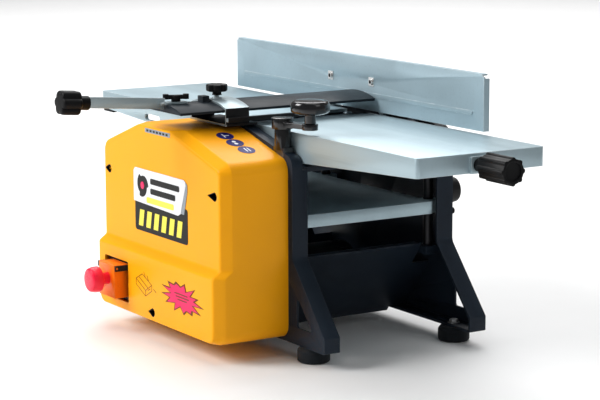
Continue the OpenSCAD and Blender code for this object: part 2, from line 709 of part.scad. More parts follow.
module crank_knob() color(plastic_black) place() difference() {
    translate([arm_end.x, arm_end.y, table_z]) rotate_extrude() polygon([[0, 13.3], [6.8, 13.3], [6.4, 24],
        [17, 25], [20, 26], [22.3, 28], [22.5, 30], [22.5, 35], [21.6, 38], [19.5, 40], [8, 40.6],
        [0, 40.6]]);
    rod_z(arm_end, 4.5 + run_gap, [table_z + 13, table_z + 34.3]);
}

// ---- fence --------------------------------------------------------------------------------------------

fence_x = [fence_mid - fence_len / 2, fence_mid + fence_len / 2];
ear_x = [-88, 50];

module fence_bracket() color(paint) place() difference() {
    union() {
        box([ear_x[0], ear_x[1] + 5], [fence_y + 3, far_y], [plate_top + 0.5, plate_top + 4.5]);
        box([ear_x[0], ear_x[1] + 5], [far_y, far_y + 4], [gear_pts[2].y + 1, plate_top + 4.5]);
        for (x = ear_x) along_x([x, x + 5]) {
            translate(fence_pin) circle(9);
            polygon([[fence_y + 5, plate_top + 1], [far_y - 3, plate_top + 1], fence_pin + [5, 7.5]]);
        }
    }
    rod_x(fence_pin, 4 + run_gap, [ear_x[0] - 1, ear_x[1] + 6]);
    box([ear_x[0] + 5, ear_x[1]], [fence_y + 2, fence_y + 25], [plate_top, plate_top + 5]);
}

module fence_hinge_pin() color(steel) place() {
    rod_x(fence_pin, 4, [ear_x[0] - 2, ear_x[1] + 20]);
    rod_x(fence_pin, 6.5, [ear_x[0] - 5, ear_x[0] - 0.1]);
}

module fence_plate() color(alloy) place() difference() {
    union() {
        box(fence_x, [fence_y, fence_y + 2], [fence_z, fence_z + fence_h]);
        box([fence_x[0] + 4, fence_x[1] - 4], [fence_y, fence_y + fence_flange],
            [fence_z + fence_h - 2, fence_z + fence_h]);
        for (x = [fence_x[0], fence_x[1] - 2])
            box([x, x + 2], [fence_y, fence_y + fence_flange], [fence_z, fence_z + fence_h - 5]);
        along_y([fence_y - 1, fence_y + 1]) polygon(rounded(rect([fence_x[0] + 19, fence_x[1] - 21],
            [fence_z + 17, fence_z + 22]), [2.4, 2.4, 2.4, 2.4]));
        box([ear_x[0] + 8, ear_x[1] - 3], [fence_y + 2, fence_y + 5], [fence_z + 12, fence_z + 46]);
        for (x = [ear_x[0] + 5.5, ear_x[1] - 15.5]) along_x([x, x + 15]) {
            translate(fence_pin) circle(8);
            polygon([[fence_y + 2, fence_z + 13], fence_pin + [-7.6, -2], fence_pin + [7, 4],
                [fence_y + 5, fence_z + 34]]);
        }
    }
    rod_x(fence_pin, 4 + run_gap, [ear_x[0], ear_x[1]]);
    for (x = fence_bolt_x) rod_y([x, fence_bolt_z], 3, [fence_y - 2, fence_y + 8]);
    for (x = fence_x)
        box([x - 3, x + 3], [fence_y - 1, fence_y + 3], [fence_z + fence_h - 3, fence_z + fence_h + 1]);
}

module fence_bolts() color(steel) place() for (x = fence_bolt_x) {
    rod_y([x, fence_bolt_z], 3, [fence_y - 0.2, fence_y + 9]);
    box([x - 5.5, x + 5.5], [fence_y - 0.8, fence_y], [fence_bolt_z - 5.5, fence_bolt_z + 5.5]);
    rod_y([x, fence_bolt_z], 3.6, [fence_y - 2.4, fence_y - 0.8]);
    hex_y([x, fence_bolt_z], 5.5, [fence_y + 5, fence_y + 9]);
}

module fence_lock_knob() color(plastic_black) place()
    translate([ear_x[1] + 5.4, fence_pin.x, fence_pin.y]) rotate([0, 90, 0]) difference() {
        union() {
            cylinder(r = 7, h = 10);
            translate([0, 0, 8]) lobed(11, 6, 3, 15);
        }
        translate([0, 0, -1]) cylinder(r = 4 + run_gap, h = 16);
    }

// ---- guard --------------------------------------------------------------------------------------------

// the arch between two radii, cut to half-width hw, with its edges turned down to low_z
module arch(r_in, r_out, hw, low_z) {
    intersection() {
        translate([guard_x, guard_c]) difference() {
            circle(r_out, $fn = 96);
            circle(r_in, $fn = 96);
        }
        translate([guard_x - hw, guard_edge_z - 12]) square([2 * hw, 60]);
    }
    edge = guard_c + sqrt(r_in * r_in - hw * hw);
    for (s = [-1, 1]) translate([guard_x + s * (hw - 1) - 1, low_z]) square([2, edge + 0.9 - low_z]);
}

module guard_blade() color(plastic_black) place() {
    along_y(guard_y) arch(guard_r - guard_t, guard_r, guard_w / 2, guard_edge_z - 3);
    along_y([guard_y[0], guard_y[0] + 2.5]) intersection() {
        translate([guard_x, guard_c]) circle(guard_r - 1, $fn = 96);
        translate([guard_x - guard_w / 2 + 1, table_z + guard_gap + 2]) square([guard_w - 2, 30]);
    }
    box([guard_x - 5, guard_x + 7], [band_y[0] - 11, band_y[0] - 2], [crown_z - 1, crown_z + 7]);
}

module guard_bridge() color(alloy) place() {
    along_y(band_y) arch(guard_r + face_gap, guard_r + face_gap + 2.5, guard_w / 2 + 3, table_z + 2);
    box([guard_x - 44, guard_x + 44], [band_y[0], post_y + 6], [table_z + 0.6, table_z + 3.2]);
    box([guard_x + 42, guard_x + 48], [band_y[0], -22], [table_z + 6, table_z + 11]);
    for (x = [-post_x, post_x]) rod_z([guard_x + x, post_y], post_r, [212, table_z + 1]);
    rod_z([guard_x, star_y], 3, [crown_z + 1.6, crown_z + 6.5]);
    rod_z([guard_x, star_y], 6, [crown_z + 1.6, crown_z + 4]);
}

module guard_post_guides() color(plastic_black) place() difference() {
    for (x = [-post_x, post_x])
        box([guard_x + x - 7, guard_x + x + 7], [near_in, post_y + 7], [228, plate_top - flange_t - 1.5]);
    for (x = [-post_x, post_x]) rod_z([guard_x + x, post_y], post_r + run_gap, [220, table_z]);
    rod_y([0, cutter_z], 15.6, [near_in - 1, -80]);
}

module on_bar() translate([guard_x, bar_start.x, bar_start.y]) rotate([90 - bar_tilt, 0, 0]) children();

module guard_bar() color(alloy) place() {
    on_bar() translate([-2, -7, 0]) cube([4, 13, bar_len]);
    box([guard_x - 7, guard_x + 7], [guard_y[0] - 8, guard_y[0] + 27], [crown_z + 0.05, crown_z + 2.4]);
    rod_z([guard_x, wing_y], 3, [crown_z + 1, crown_z + 7.5]);
}

module guard_end_knob() color(plastic_black) place()
    on_bar() translate([0, -knob_drop, bar_len + face_gap]) {
        cylinder(r = 8, h = 14);
        translate([0, 0, 12]) lobed(guard_knob_r, 6, guard_lobe_r, guard_knob_len - 7);
    }

module guard_star_knob() color(plastic_black) place()
    translate([guard_x, star_y, crown_z + 6.8]) {
        cylinder(r = 6, h = 5);
        translate([0, 0, 4]) lobed(13, 7, 3.4, 9);
    }

module guard_wing() color(plastic_black) place()
    translate([guard_x, wing_y, crown_z + 2.7]) difference() {
        union() {
            cylinder(r = 5.5, h = 7);
            rotate([0, 0, 70]) translate([-12, -2, 2.5]) cube([24, 4, 5]);
            for (s = [-1, 1]) rotate([0, 0, 70]) translate([s * 12, 0, 2.5]) cylinder(r = 3.5, h = 6);
        }
        translate([0, 0, -1]) cylinder(r = 3 + run_gap, h = 6.2);
    }

// ---- parts ----------------------------------------------------------------------------------------------

near_side_plate();
far_side_plate();
infeed_panel();
outfeed_panel();
tie_rods();
rubber_feet();
foot_screws();
cross_beams();
guide_columns();
column_brackets();
belt_cover();
cover_screws();
gear_cover();
switch_box();
cable_gland();
motor_housing();
cutter_bearings();
drive_belt();
feed_chain();
idler_axle();
chip_deflector();
pawl_rod();
guard_post_guides();
crank_post();
outfeed_table();
outfeed_bumpers();
fence_bracket();
fence_hinge_pin();
infeed_table();
depth_shaft();
depth_knob();
cutter_block();
knives();
knife_gibs();
cutter_pulley();
motor_armature();
motor_pulley();
ribbed_roller();
ribbed_roller_sprocket();
smooth_roller();
smooth_roller_sprocket();
idler_gear();
kickback_pawls();
thickness_bed();
lift_nut();
lift_screw();
crank_arm();
crank_knob();
fence_plate();
fence_bolts();
fence_lock_knob();
guard_bridge();
guard_blade();
guard_bar();
guard_star_knob();
guard_wing();
guard_end_knob();
switch_flap();
stop_button();
start_button();
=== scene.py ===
# %% [markdown]
# # A bench planer-thicknesser
# The machine has two jobs.  On top, two silver tables carry a board over a spinning cutter, under an
# arched black guard and along a grey fence.  Below, a third table is wound up and down by a crank, and
# two rollers feed a board under the same cutter.  The moving design already exists as a imported model.
# This lesson gives it its looks: rounded edges, moulded covers, screws, labels, and metal whose rubbed edges also
# carry a painted highlight.

# %% Load the machine
import json
import math

import bmesh
import bpy
from mathutils import Matrix, Vector


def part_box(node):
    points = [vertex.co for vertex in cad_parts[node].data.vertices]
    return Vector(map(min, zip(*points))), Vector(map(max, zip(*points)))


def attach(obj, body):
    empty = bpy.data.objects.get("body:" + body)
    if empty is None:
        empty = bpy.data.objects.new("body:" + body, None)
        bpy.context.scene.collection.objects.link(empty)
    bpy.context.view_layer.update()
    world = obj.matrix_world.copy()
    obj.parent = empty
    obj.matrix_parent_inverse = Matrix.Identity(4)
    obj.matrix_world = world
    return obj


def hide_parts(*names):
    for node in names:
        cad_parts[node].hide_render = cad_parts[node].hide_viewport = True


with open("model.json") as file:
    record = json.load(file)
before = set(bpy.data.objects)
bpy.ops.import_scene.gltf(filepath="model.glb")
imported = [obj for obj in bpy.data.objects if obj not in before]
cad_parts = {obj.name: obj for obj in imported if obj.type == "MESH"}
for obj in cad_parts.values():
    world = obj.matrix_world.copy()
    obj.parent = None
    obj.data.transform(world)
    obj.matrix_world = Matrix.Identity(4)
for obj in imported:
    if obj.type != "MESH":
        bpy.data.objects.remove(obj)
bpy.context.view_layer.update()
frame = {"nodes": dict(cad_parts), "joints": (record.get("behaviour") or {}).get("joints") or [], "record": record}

# %% [markdown]
# ## Where things are
# Workshop drawings measure from something real.  Here that is the cutter: X is the distance from its
# axis, Y from the middle of the tables and Z from the bench, all in millimetres.  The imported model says
# where those are, so no place has to be typed in twice.

# %% Measure from the cutter
MM = 0.001


def middle(node):
    low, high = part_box(node)
    return (low + high) / 2


ORIGIN = Vector((middle("cutter_block").x, middle("infeed_table").y, 0))


def at(x, y, z):
    """A place in millimetres from the cutter axis, the middle of the tables and the bench."""
    return ORIGIN + Vector((x, y, z)) * MM


def in_mm(point):
    return (point - ORIGIN) / MM


TABLE_Z = in_mm(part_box("infeed_table")[1]).z
COVER_LOW, COVER_HIGH = (in_mm(corner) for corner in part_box("belt_cover"))
PLATE_Y = COVER_HIGH.y
print("table height", round(TABLE_Z, 1), "mm; cover from", COVER_LOW[:], "to", COVER_HIGH[:])

# %% [markdown]
# ## Wiring materials
# A finish is a network of small nodes: a noise that varies the colour, another that varies how rough the
# surface is, a third that pushes it in and out, and a mask that finds the edges, where a real machine is
# handled and rubbed, and where the edges are also lightened as a painted highlight.  A few little helpers
# keep that readable.  Every pattern reads Object coordinates, which are metres on these pieces, so a scale
# of 1000 gives grains of about a millimetre.

# %% Feed a socket, or calculate
def put(tree, socket, value):
    """Feeds a socket with another socket's output, or with a plain value."""
    if isinstance(value, bpy.types.NodeSocket):
        tree.links.new(value, socket)
    else:
        socket.default_value = value


def calc(tree, operation, a, b=0.0):
    math_node = tree.nodes.new("ShaderNodeMath")
    math_node.operation = operation
    put(tree, math_node.inputs[0], a)
    put(tree, math_node.inputs[1], b)
    return math_node.outputs[0]


# %% [markdown]
# Noise is the raw material of most patterns.  It comes out between 0 and 1, mostly near a half, so it is
# stretched over the range that a colour or a roughness needs.

# %% Noise, and its range
def noise(tree, scale, stretch=(1, 1, 1), detail=3.0):
    """A cloudy pattern from 0 to 1; stretch under 1 draws it out along that axis."""
    where = tree.nodes.new("ShaderNodeTexCoord")
    turn = tree.nodes.new("ShaderNodeMapping")
    turn.inputs["Scale"].default_value = stretch
    tree.links.new(where.outputs["Object"], turn.inputs["Vector"])
    cloud = tree.nodes.new("ShaderNodeTexNoise")
    cloud.inputs["Scale"].default_value = scale
    cloud.inputs["Detail"].default_value = detail
    tree.links.new(turn.outputs["Vector"], cloud.inputs["Vector"])
    return cloud.outputs["Fac"]


def spread(tree, value, low, high, to_low=0.0, to_high=1.0):
    """Stretches the part of a pattern between low and high over a new range."""
    ranger = tree.nodes.new("ShaderNodeMapRange")
    put(tree, ranger.inputs["Value"], value)
    for name, number in (("From Min", low), ("From Max", high), ("To Min", to_low), ("To Max", to_high)):
        ranger.inputs[name].default_value = number
    return ranger.outputs["Result"]


# %% [markdown]
# Worn edges, which are also lightened as a painted highlight, need to know where the edges are.  A Bevel
# node returns the normal that a rounded edge would have; where it leaves the true normal, there is an edge.

# %% Blend colours, and find edges
def mix(tree, share, first, second):
    """Blends two colours."""
    mixer = tree.nodes.new("ShaderNodeMix")
    mixer.data_type = "RGBA"
    put(tree, mixer.inputs[0], share)
    put(tree, mixer.inputs[6], first if isinstance(first, bpy.types.NodeSocket) else (*first, 1))
    put(tree, mixer.inputs[7], second if isinstance(second, bpy.types.NodeSocket) else (*second, 1))
    return mixer.outputs[2]


def edges(tree, radius):
    """1 on edges and 0 on flats: where a rounded normal leaves the true one."""
    bevel = tree.nodes.new("ShaderNodeBevel")
    bevel.samples = 4
    bevel.inputs["Radius"].default_value = radius
    true = tree.nodes.new("ShaderNodeNewGeometry")
    dot = tree.nodes.new("ShaderNodeVectorMath")
    dot.operation = "DOT_PRODUCT"
    tree.links.new(bevel.outputs["Normal"], dot.inputs[0])
    tree.links.new(true.outputs["Normal"], dot.inputs[1])
    return spread(tree, dot.outputs["Value"], 0.995, 0.85)


# %% [markdown]
# ## One recipe for a finish
# Paint, plastic, rubber and metal differ in numbers more than in kind, so one recipe serves them all.
# `cloud` is the size of the large soft patches, `grain` that of the fine tooth of the surface, `pull`
# draws the pattern out for brushed or machined metal, the edge colour is what rubbed edges show and is also
# a painted highlight along them, and `shine` is how much the surface mirrors when seen square on.

# %% Make a finish
FINISHES = {}


def finish(name, colour, rough, metal=0.0, vary=0.12, grain=900, bump=0.03, pull=(1, 1, 1), edge_wear_and_highlight_colour=None,
           edge_wear_and_highlight_amount=0.0, coat=0.0, cloud=9, depth=0.0002, dirt=0.25, sheen=0.0, shine=0.5):
    material = bpy.data.materials.new(name)
    material.use_nodes = True
    tree = material.node_tree
    shader = tree.nodes["Principled BSDF"]
    shader.inputs["Metallic"].default_value = metal
    shader.inputs["Coat Weight"].default_value = coat
    shader.inputs["Coat Roughness"].default_value = 0.15
    shader.inputs["Sheen Weight"].default_value = sheen
    shader.inputs["Specular IOR Level"].default_value = shine
    patches = spread(tree, noise(tree, cloud, pull), 0.3, 0.7)
    tooth = noise(tree, grain, pull, 2.0)
    paler = tuple(min(c * (1 + vary * 0.6), 1) for c in colour)
    darker = tuple(c * (1 - vary) for c in colour)
    shade = mix(tree, patches, darker, paler)
    specks = spread(tree, noise(tree, grain * 0.35, pull, 2.0), 0.58, 0.72, 0.0, dirt)
    shade = mix(tree, specks, shade, tuple(c * 0.62 for c in colour))
    # Edges are lightened towards the edge colour: partly rubbed wear, partly a painted highlight along the edges.
    if edge_wear_and_highlight_colour:
        rubbed_and_lit_edges = calc(tree, "MULTIPLY", edges(tree, 0.0012), spread(tree, noise(tree, 60), 0.35, 0.62))
        shade = mix(tree, calc(tree, "MULTIPLY", rubbed_and_lit_edges, edge_wear_and_highlight_amount), shade, edge_wear_and_highlight_colour)
    tree.links.new(shade, shader.inputs["Base Color"])
    smear = spread(tree, noise(tree, cloud * 3, pull), 0.25, 0.75, rough * 0.86, min(rough * 1.16, 1))
    polish = calc(tree, "ADD", smear, spread(tree, tooth, 0.3, 0.7, -0.03, 0.03))
    tree.links.new(polish, shader.inputs["Roughness"])
    push = tree.nodes.new("ShaderNodeBump")
    push.inputs["Strength"].default_value = bump
    push.inputs["Distance"].default_value = depth
    tree.links.new(tooth, push.inputs["Height"])
    tree.links.new(push.outputs["Normal"], shader.inputs["Normal"])
    FINISHES[name] = material
    return material


# %% [markdown]
# ## The machine's own finishes
# The frame is dark powder coat with a blue cast; the belt cover is a satin yellow moulding; the tables
# are cast aluminium planed along their length, so their pattern is drawn out along X.  The fence is a
# paler, anodised plate.  Handles are satin black plastic, except the crank's cap, which is polished.
# Rubber is the roughest of all and has almost no shine.

# %% Paint, plastics, rubber and metals
ALONG_X = (0.03, 1, 1)
ALONG_Y = (1, 0.03, 1)

finish("frame_paint", (0.013, 0.020, 0.031), 0.42, vary=0.2, grain=700, bump=0.14, edge_wear_and_highlight_colour=(0.16, 0.17, 0.18),
       edge_wear_and_highlight_amount=0.3, shine=0.14)
finish("motor_paint", (0.010, 0.010, 0.011), 0.45, grain=600, bump=0.15, shine=0.2)
finish("cover_yellow", (1.0, 0.41, 0.006), 0.35, vary=0.05, grain=1100, bump=0.04, edge_wear_and_highlight_colour=(1.0, 0.55, 0.04),
       edge_wear_and_highlight_amount=0.45, coat=0.04, dirt=0.03, cloud=6, shine=0.1)
finish("black_plastic", (0.006, 0.006, 0.007), 0.46, grain=1300, bump=0.12, edge_wear_and_highlight_colour=(0.05, 0.05, 0.055),
       edge_wear_and_highlight_amount=0.4, shine=0.2)
finish("knob_black", (0.0022, 0.0024, 0.003), 0.42, grain=1200, bump=0.12, edge_wear_and_highlight_colour=(0.05, 0.05, 0.055),
       edge_wear_and_highlight_amount=0.45, shine=0.14)
finish("guard_black", (0.014, 0.020, 0.026), 0.40, vary=0.2, grain=1000, bump=0.06, edge_wear_and_highlight_colour=(0.08, 0.09, 0.10),
       edge_wear_and_highlight_amount=0.5, shine=0.08)
finish("crank_black", (0.004, 0.004, 0.005), 0.15, grain=900, bump=0.02, coat=0.3, dirt=0.1)
finish("table_alloy", (0.40, 0.515, 0.565), 0.38, metal=0.45, vary=0.10, grain=900, bump=0.10, pull=ALONG_X,
       edge_wear_and_highlight_colour=(0.86, 0.90, 0.92), edge_wear_and_highlight_amount=0.9, cloud=14, dirt=0.16, shine=0.4)
finish("fence_alloy", (0.37, 0.49, 0.55), 0.44, metal=0.4, vary=0.10, grain=1100, bump=0.05,
       edge_wear_and_highlight_colour=(0.82, 0.87, 0.88), edge_wear_and_highlight_amount=0.8, dirt=0.2, shine=0.4)
finish("guard_alloy", (0.34, 0.42, 0.45), 0.38, metal=0.6, vary=0.1, grain=1200, bump=0.05,
       edge_wear_and_highlight_colour=(0.90, 0.93, 0.93), edge_wear_and_highlight_amount=1.0)
finish("pulley_alloy", (0.60, 0.61, 0.62), 0.32, metal=0.9, grain=1500, bump=0.06, pull=(1, 0.05, 1))
finish("zinc_steel", (0.42, 0.43, 0.44), 0.36, metal=0.9, vary=0.2, grain=700, bump=0.06)
finish("bright_steel", (0.80, 0.80, 0.79), 0.22, metal=0.9, grain=900, bump=0.03)
finish("ground_steel", (0.55, 0.56, 0.58), 0.26, metal=0.95, grain=1400, bump=0.05, pull=ALONG_Y)
# dark_steel is black-oxide steel, made this dark partly as painted shade: the guide columns under the table and
# the screws in the cover's pockets stand in shade.
finish("dark_steel", (0.03, 0.03, 0.033), 0.42, metal=0.8, grain=900, bump=0.08)
finish("knife_steel", (0.74, 0.75, 0.77), 0.16, metal=1.0, grain=1800, bump=0.03, pull=ALONG_Y)
finish("nut_brass", (0.60, 0.42, 0.14), 0.30, metal=1.0, grain=1200, bump=0.05)
finish("foot_rubber", (0.009, 0.012, 0.016), 0.74, vary=0.3, grain=900, bump=0.25, sheen=0.08, shine=0.2)
finish("belt_rubber", (0.012, 0.012, 0.012), 0.66, grain=900, bump=0.2, shine=0.2)
finish("roller_rubber", (0.020, 0.020, 0.021), 0.62, grain=900, bump=0.2, shine=0.2)
finish("flap_orange", (1.0, 0.19, 0.006), 0.34, grain=900, bump=0.04, edge_wear_and_highlight_colour=(1.0, 0.36, 0.06), edge_wear_and_highlight_amount=0.4,
       coat=0.05, shine=0.2)
finish("stop_red", (0.95, 0.014, 0.055), 0.30, grain=900, bump=0.03, edge_wear_and_highlight_colour=(0.90, 0.10, 0.12), edge_wear_and_highlight_amount=0.4,
       coat=0.1, shine=0.25)
finish("start_green", (0.02, 0.30, 0.07), 0.3, grain=900, bump=0.03)
finish("label_white", (0.80, 0.82, 0.85), 0.4, vary=0.04, grain=1500, bump=0.03, dirt=0.03, shine=0.2)
finish("label_black", (0.003, 0.003, 0.003), 0.38, grain=1500, bump=0.03, shine=0.15)
finish("label_red", (0.80, 0.012, 0.12), 0.38, vary=0.06, grain=1500, bump=0.03, dirt=0.05, shine=0.2)
finish("label_brown", (0.14, 0.045, 0.008), 0.45, grain=1500, bump=0.03, shine=0.15)
finish("label_blue", (0.006, 0.007, 0.13), 0.36, grain=1500, bump=0.03, shine=0.2)
finish("label_lemon", (0.92, 0.80, 0.09), 0.38, vary=0.05, grain=1500, bump=0.03, dirt=0.03, shine=0.2)
finish("label_grey", (0.30, 0.34, 0.38), 0.4, grain=1500, bump=0.03, shine=0.2)
print(len(FINISHES), "finishes")

# %% [markdown]
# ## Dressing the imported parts
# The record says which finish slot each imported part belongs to, and the finishes above carry the same
# names.  One loop gives every part its own, the ones deep inside included, because covers come off.

# %% Put the finishes on the parts
SLOT_OF = {row["node"]: row["material_slot"] for row in frame["record"]["subparts"]}
BODY_OF = {n: body for body, nodes in frame["record"]["behaviour"]["bodies"].items() for n in nodes}

for name, part in frame["nodes"].items():
    part.data.materials.clear()
    part.data.materials.append(FINISHES[SLOT_OF[name]])
print(len(frame["nodes"]), "parts dressed in", len(set(SLOT_OF.values())), "finishes")

# %% [markdown]
# ## Rounding the edges
# No casting or moulding ends in a knife edge.  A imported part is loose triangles, so it can't take a bevel
# itself.  A copy can: its doubles are merged, the triangles of each flat are joined into one face, and a
# Bevel modifier rounds what is left at a corner.  Hardened normals keep the flats flat.  The copy then
# stands for the part, at the same place, and rides on the same body.

# %% Keep a modelled piece
def keep(mesh_object, name, body, material, sharp=35):
    """Turns an object and its modifiers into one plain mesh at the origin, riding on a body."""
    graph = bpy.context.evaluated_depsgraph_get()
    mesh = bpy.data.meshes.new_from_object(mesh_object.evaluated_get(graph), depsgraph=graph)
    mesh.transform(mesh_object.matrix_world)
    mesh.name = name
    bpy.data.objects.remove(mesh_object)
    piece = bpy.data.objects.new(name, mesh)
    bpy.context.scene.collection.objects.link(piece)
    if material:
        mesh.materials.clear()
        mesh.materials.append(FINISHES[material])
    if sharp:
        mesh.shade_smooth()
        mesh.set_sharp_from_angle(angle=math.radians(sharp))
    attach(piece, body)
    return piece


def linked(name, mesh):
    thing = bpy.data.objects.new(name, mesh)
    bpy.context.scene.collection.objects.link(thing)
    bpy.context.view_layer.update()
    return thing


def mesh_of(bm, name):
    """A mesh with what a bmesh holds, which is then let go."""
    mesh = bpy.data.meshes.new(name)
    bm.to_mesh(mesh)
    bm.free()
    return mesh


def skin_rings(bm, rings):
    """Joins each ring of corners to the next by a band of faces."""
    for back, front in zip(rings, rings[1:]):
        for i in range(len(back)):
            j = (i + 1) % len(back)
            bm.faces.new((back[i], back[j], front[j], front[i]))


# %% [markdown]
# The copy's triangles are joined where they lie within half a degree of one plane.  Only corners sharper
# than 32 degrees are rounded, so the facets of round parts stay as they are.

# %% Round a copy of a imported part
FLAT_WITHIN, SHARPER_THAN = math.radians(0.6), math.radians(32)


def rounded_copy(node, width):
    """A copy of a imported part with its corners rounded; width is in millimetres."""
    mesh = frame["nodes"][node].data.copy()
    bm = bmesh.new()
    bm.from_mesh(mesh)
    bmesh.ops.remove_doubles(bm, verts=bm.verts, dist=2e-6)
    bmesh.ops.dissolve_limit(bm, angle_limit=FLAT_WITHIN, verts=bm.verts, edges=bm.edges)
    bm.to_mesh(mesh)
    bm.free()
    mesh.shade_smooth()
    copy = linked(node + "_rounded", mesh)
    bevel = copy.modifiers.new("corners", "BEVEL")
    bevel.width = width * MM
    bevel.segments = 2
    bevel.limit_method = "ANGLE"
    bevel.angle_limit = SHARPER_THAN
    bevel.use_clamp_overlap = True
    bevel.harden_normals = True
    bpy.context.view_layer.update()
    piece = keep(copy, node + "_finished", BODY_OF[node], SLOT_OF[node], sharp=0)
    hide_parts(node)
    return piece


# %% [markdown]
# Castings get a soft millimetre, pressed plates less, and small hardware a trace.

# %% Round the visible parts
ROUNDING = {
    "near_side_plate": 0.9, "far_side_plate": 0.9, "infeed_panel": 0.5, "outfeed_panel": 0.5,
    "outfeed_table": 0.8, "infeed_table": 0.8, "fence_plate": 0.6, "fence_bracket": 0.8,
    "guard_blade": 0.7, "guard_bridge": 0.6, "guard_bar": 0.6, "guard_wing": 0.7,
    "thickness_bed": 0.8, "crank_arm": 1.0, "crank_knob": 1.2, "crank_post": 0.8, "depth_knob": 0.9,
    "gear_cover": 0.8, "switch_box": 0.5, "switch_flap": 1.0, "stop_button": 0.9, "rubber_feet": 0.8,
    "cable_gland": 0.8, "column_brackets": 0.5, "cross_beams": 0.5, "outfeed_bumpers": 0.6,
    "guard_post_guides": 0.5, "motor_housing": 0.8, "fence_hinge_pin": 0.4, "tie_rods": 0.4,
}
for name, width in ROUNDING.items():
    piece = rounded_copy(name, width)
    print(f"{piece.name}: {len(piece.data.polygons)} faces")

# %% [markdown]
# ## The belt cover
# On the real machine this is one deep yellow moulding.  Its outline is a box with a sloping roof, every
# corner rounded; its front edge is broken by a broad chamfer with soft ends; and low down the front steps
# out to clear the motor pulley.  That shape follows a rule, so it is lofted: the same outline is drawn
# again and again, moving forward and shrinking as a profile says, and the rings are skinned.  Level cuts
# round the step give it somewhere to bend.  Solidify makes the wall, and booleans cut the switch opening
# and the drop-shaped screw pockets.

# %% The cover's outline and profile
def arc_corner(before, corner, after, radius, steps=8):
    """Points of the arc that rounds a corner of an outline."""
    a, b, c = (Vector(p) for p in (before, corner, after))
    u, v = (b - a).normalized(), (c - b).normalized()
    turn = u.angle_signed(v)
    reach = radius * math.tan(abs(turn) / 2)
    start, end = b - u * reach, b + v * reach
    side = Vector((-u.y, u.x)) * (1 if turn < 0 else -1)
    centre = start + side * radius
    sweep = (start - centre).angle_signed(end - centre)
    points = []
    for step in range(steps + 1):
        angle = -sweep * step / steps
        arm = start - centre
        points.append(centre + Vector((arm.x * math.cos(angle) - arm.y * math.sin(angle),
                                       arm.x * math.sin(angle) + arm.y * math.cos(angle))))
    return points


def rounded_outline(corners, radii, shrink=0.0, steps=8, shares=None):
    """An anticlockwise outline whose sides move inwards by their share of shrink, corners rounded."""
    count = len(corners)
    shares = shares or [1.0] * count
    moved = []
    for i, corner in enumerate(corners):
        before, after = Vector(corners[i - 1]), Vector(corners[(i + 1) % count])
        corner = Vector(corner)
        u, v = (corner - before).normalized(), (after - corner).normalized()
        n1, n2 = Vector((-u.y, u.x)), Vector((-v.y, v.x))
        d1, d2 = shares[i - 1] * shrink, shares[i] * shrink
        cross = n1.x * n2.y - n1.y * n2.x
        moved.append(corner + Vector((d1 * n2.y - d2 * n1.y, d2 * n1.x - d1 * n2.x)) / cross)
    points = []
    for i, corner in enumerate(moved):
        radius = max(radii[i] - shrink * (shares[i - 1] + shares[i]) / 2, 0.8)
        points += arc_corner(moved[i - 1], corner, moved[(i + 1) % count], radius, steps)
    return points


COVER_CORNERS = [(-160, 22), (136, 22), (136, 229), (28, 258), (-68, 258), (-160, 226)]
COVER_RADII = [16, 16, 16, 22, 22, 18]
COVER_FRONT = -187.0
STEP_OUT = 10.0
STEP_TOP, STEP_FOOT = 110.0, 100.0
STEP_CUTS = (96, 114)
FRONT_BAND, BEND = 40.0, 20.0
WALL = 3.0
# how far the outline has shrunk and how far it is behind the front, along the chamfer and its soft ends
CHAMFER = [(0, 14.0), (0, 13.0), (0.15, 12.3), (0.6, 11.5), (1.1, 10.75), (1.6, 10.0), (6.6, 2.5),
           (7.1, 1.75), (7.8, 1.0), (8.7, 0.45), (9.8, 0.1), (10.6, 0), (13.5, 0)]
# the chamfer is broad on the right side and the right slope, and narrow on the others
SHARES = [0.35, 1.0, 1.0, 0.3, 0.3, 0.3]


def step_at(z):
    """How far the front stands out at a height: nothing above the step, all of it below."""
    share = min(max((STEP_TOP - z) / (STEP_TOP - STEP_FOOT), 0), 1)
    return STEP_OUT * (share * share * (3 - 2 * share))


# %% [markdown]
# The loft goes from the machine's side plate to the front.  The level cuts come after the skinning, and
# then every corner near the front moves out by as much as the step stands out at its height.

# %% Loft the cover
def lofted_cover():
    bm = bmesh.new()
    rings = []
    depths = [(0, PLATE_Y), (0, COVER_FRONT + FRONT_BAND)] + [(d, COVER_FRONT + y) for d, y in CHAMFER]
    for shrink, y in depths:
        outline = rounded_outline(COVER_CORNERS, COVER_RADII, shrink, shares=SHARES)
        rings.append([bm.verts.new(at(p.x, y, p.y)) for p in outline])
    skin_rings(bm, rings)
    bm.faces.new(rings[-1])
    for z in range(STEP_CUTS[0], STEP_CUTS[1]):
        everything = bm.verts[:] + bm.edges[:] + bm.faces[:]
        bmesh.ops.bisect_plane(bm, geom=everything, plane_co=at(0, 0, z), plane_no=(0, 0, 1))
    for vert in bm.verts:
        place = in_mm(vert.co)
        forward = min(max((COVER_FRONT + FRONT_BAND + 1 - place.y) / BEND, 0), 1)
        vert.co.y -= step_at(place.z) * forward * MM
    bmesh.ops.recalc_face_normals(bm, faces=bm.faces)
    return linked("cover_loft", mesh_of(bm, "cover_shell"))


# %% [markdown]
# Holes are cut by solids that stand where the material goes: a block with rounded upright edges for the
# switch, and drops for the screws, whose pointed tails let a finger guide the screwdriver in.

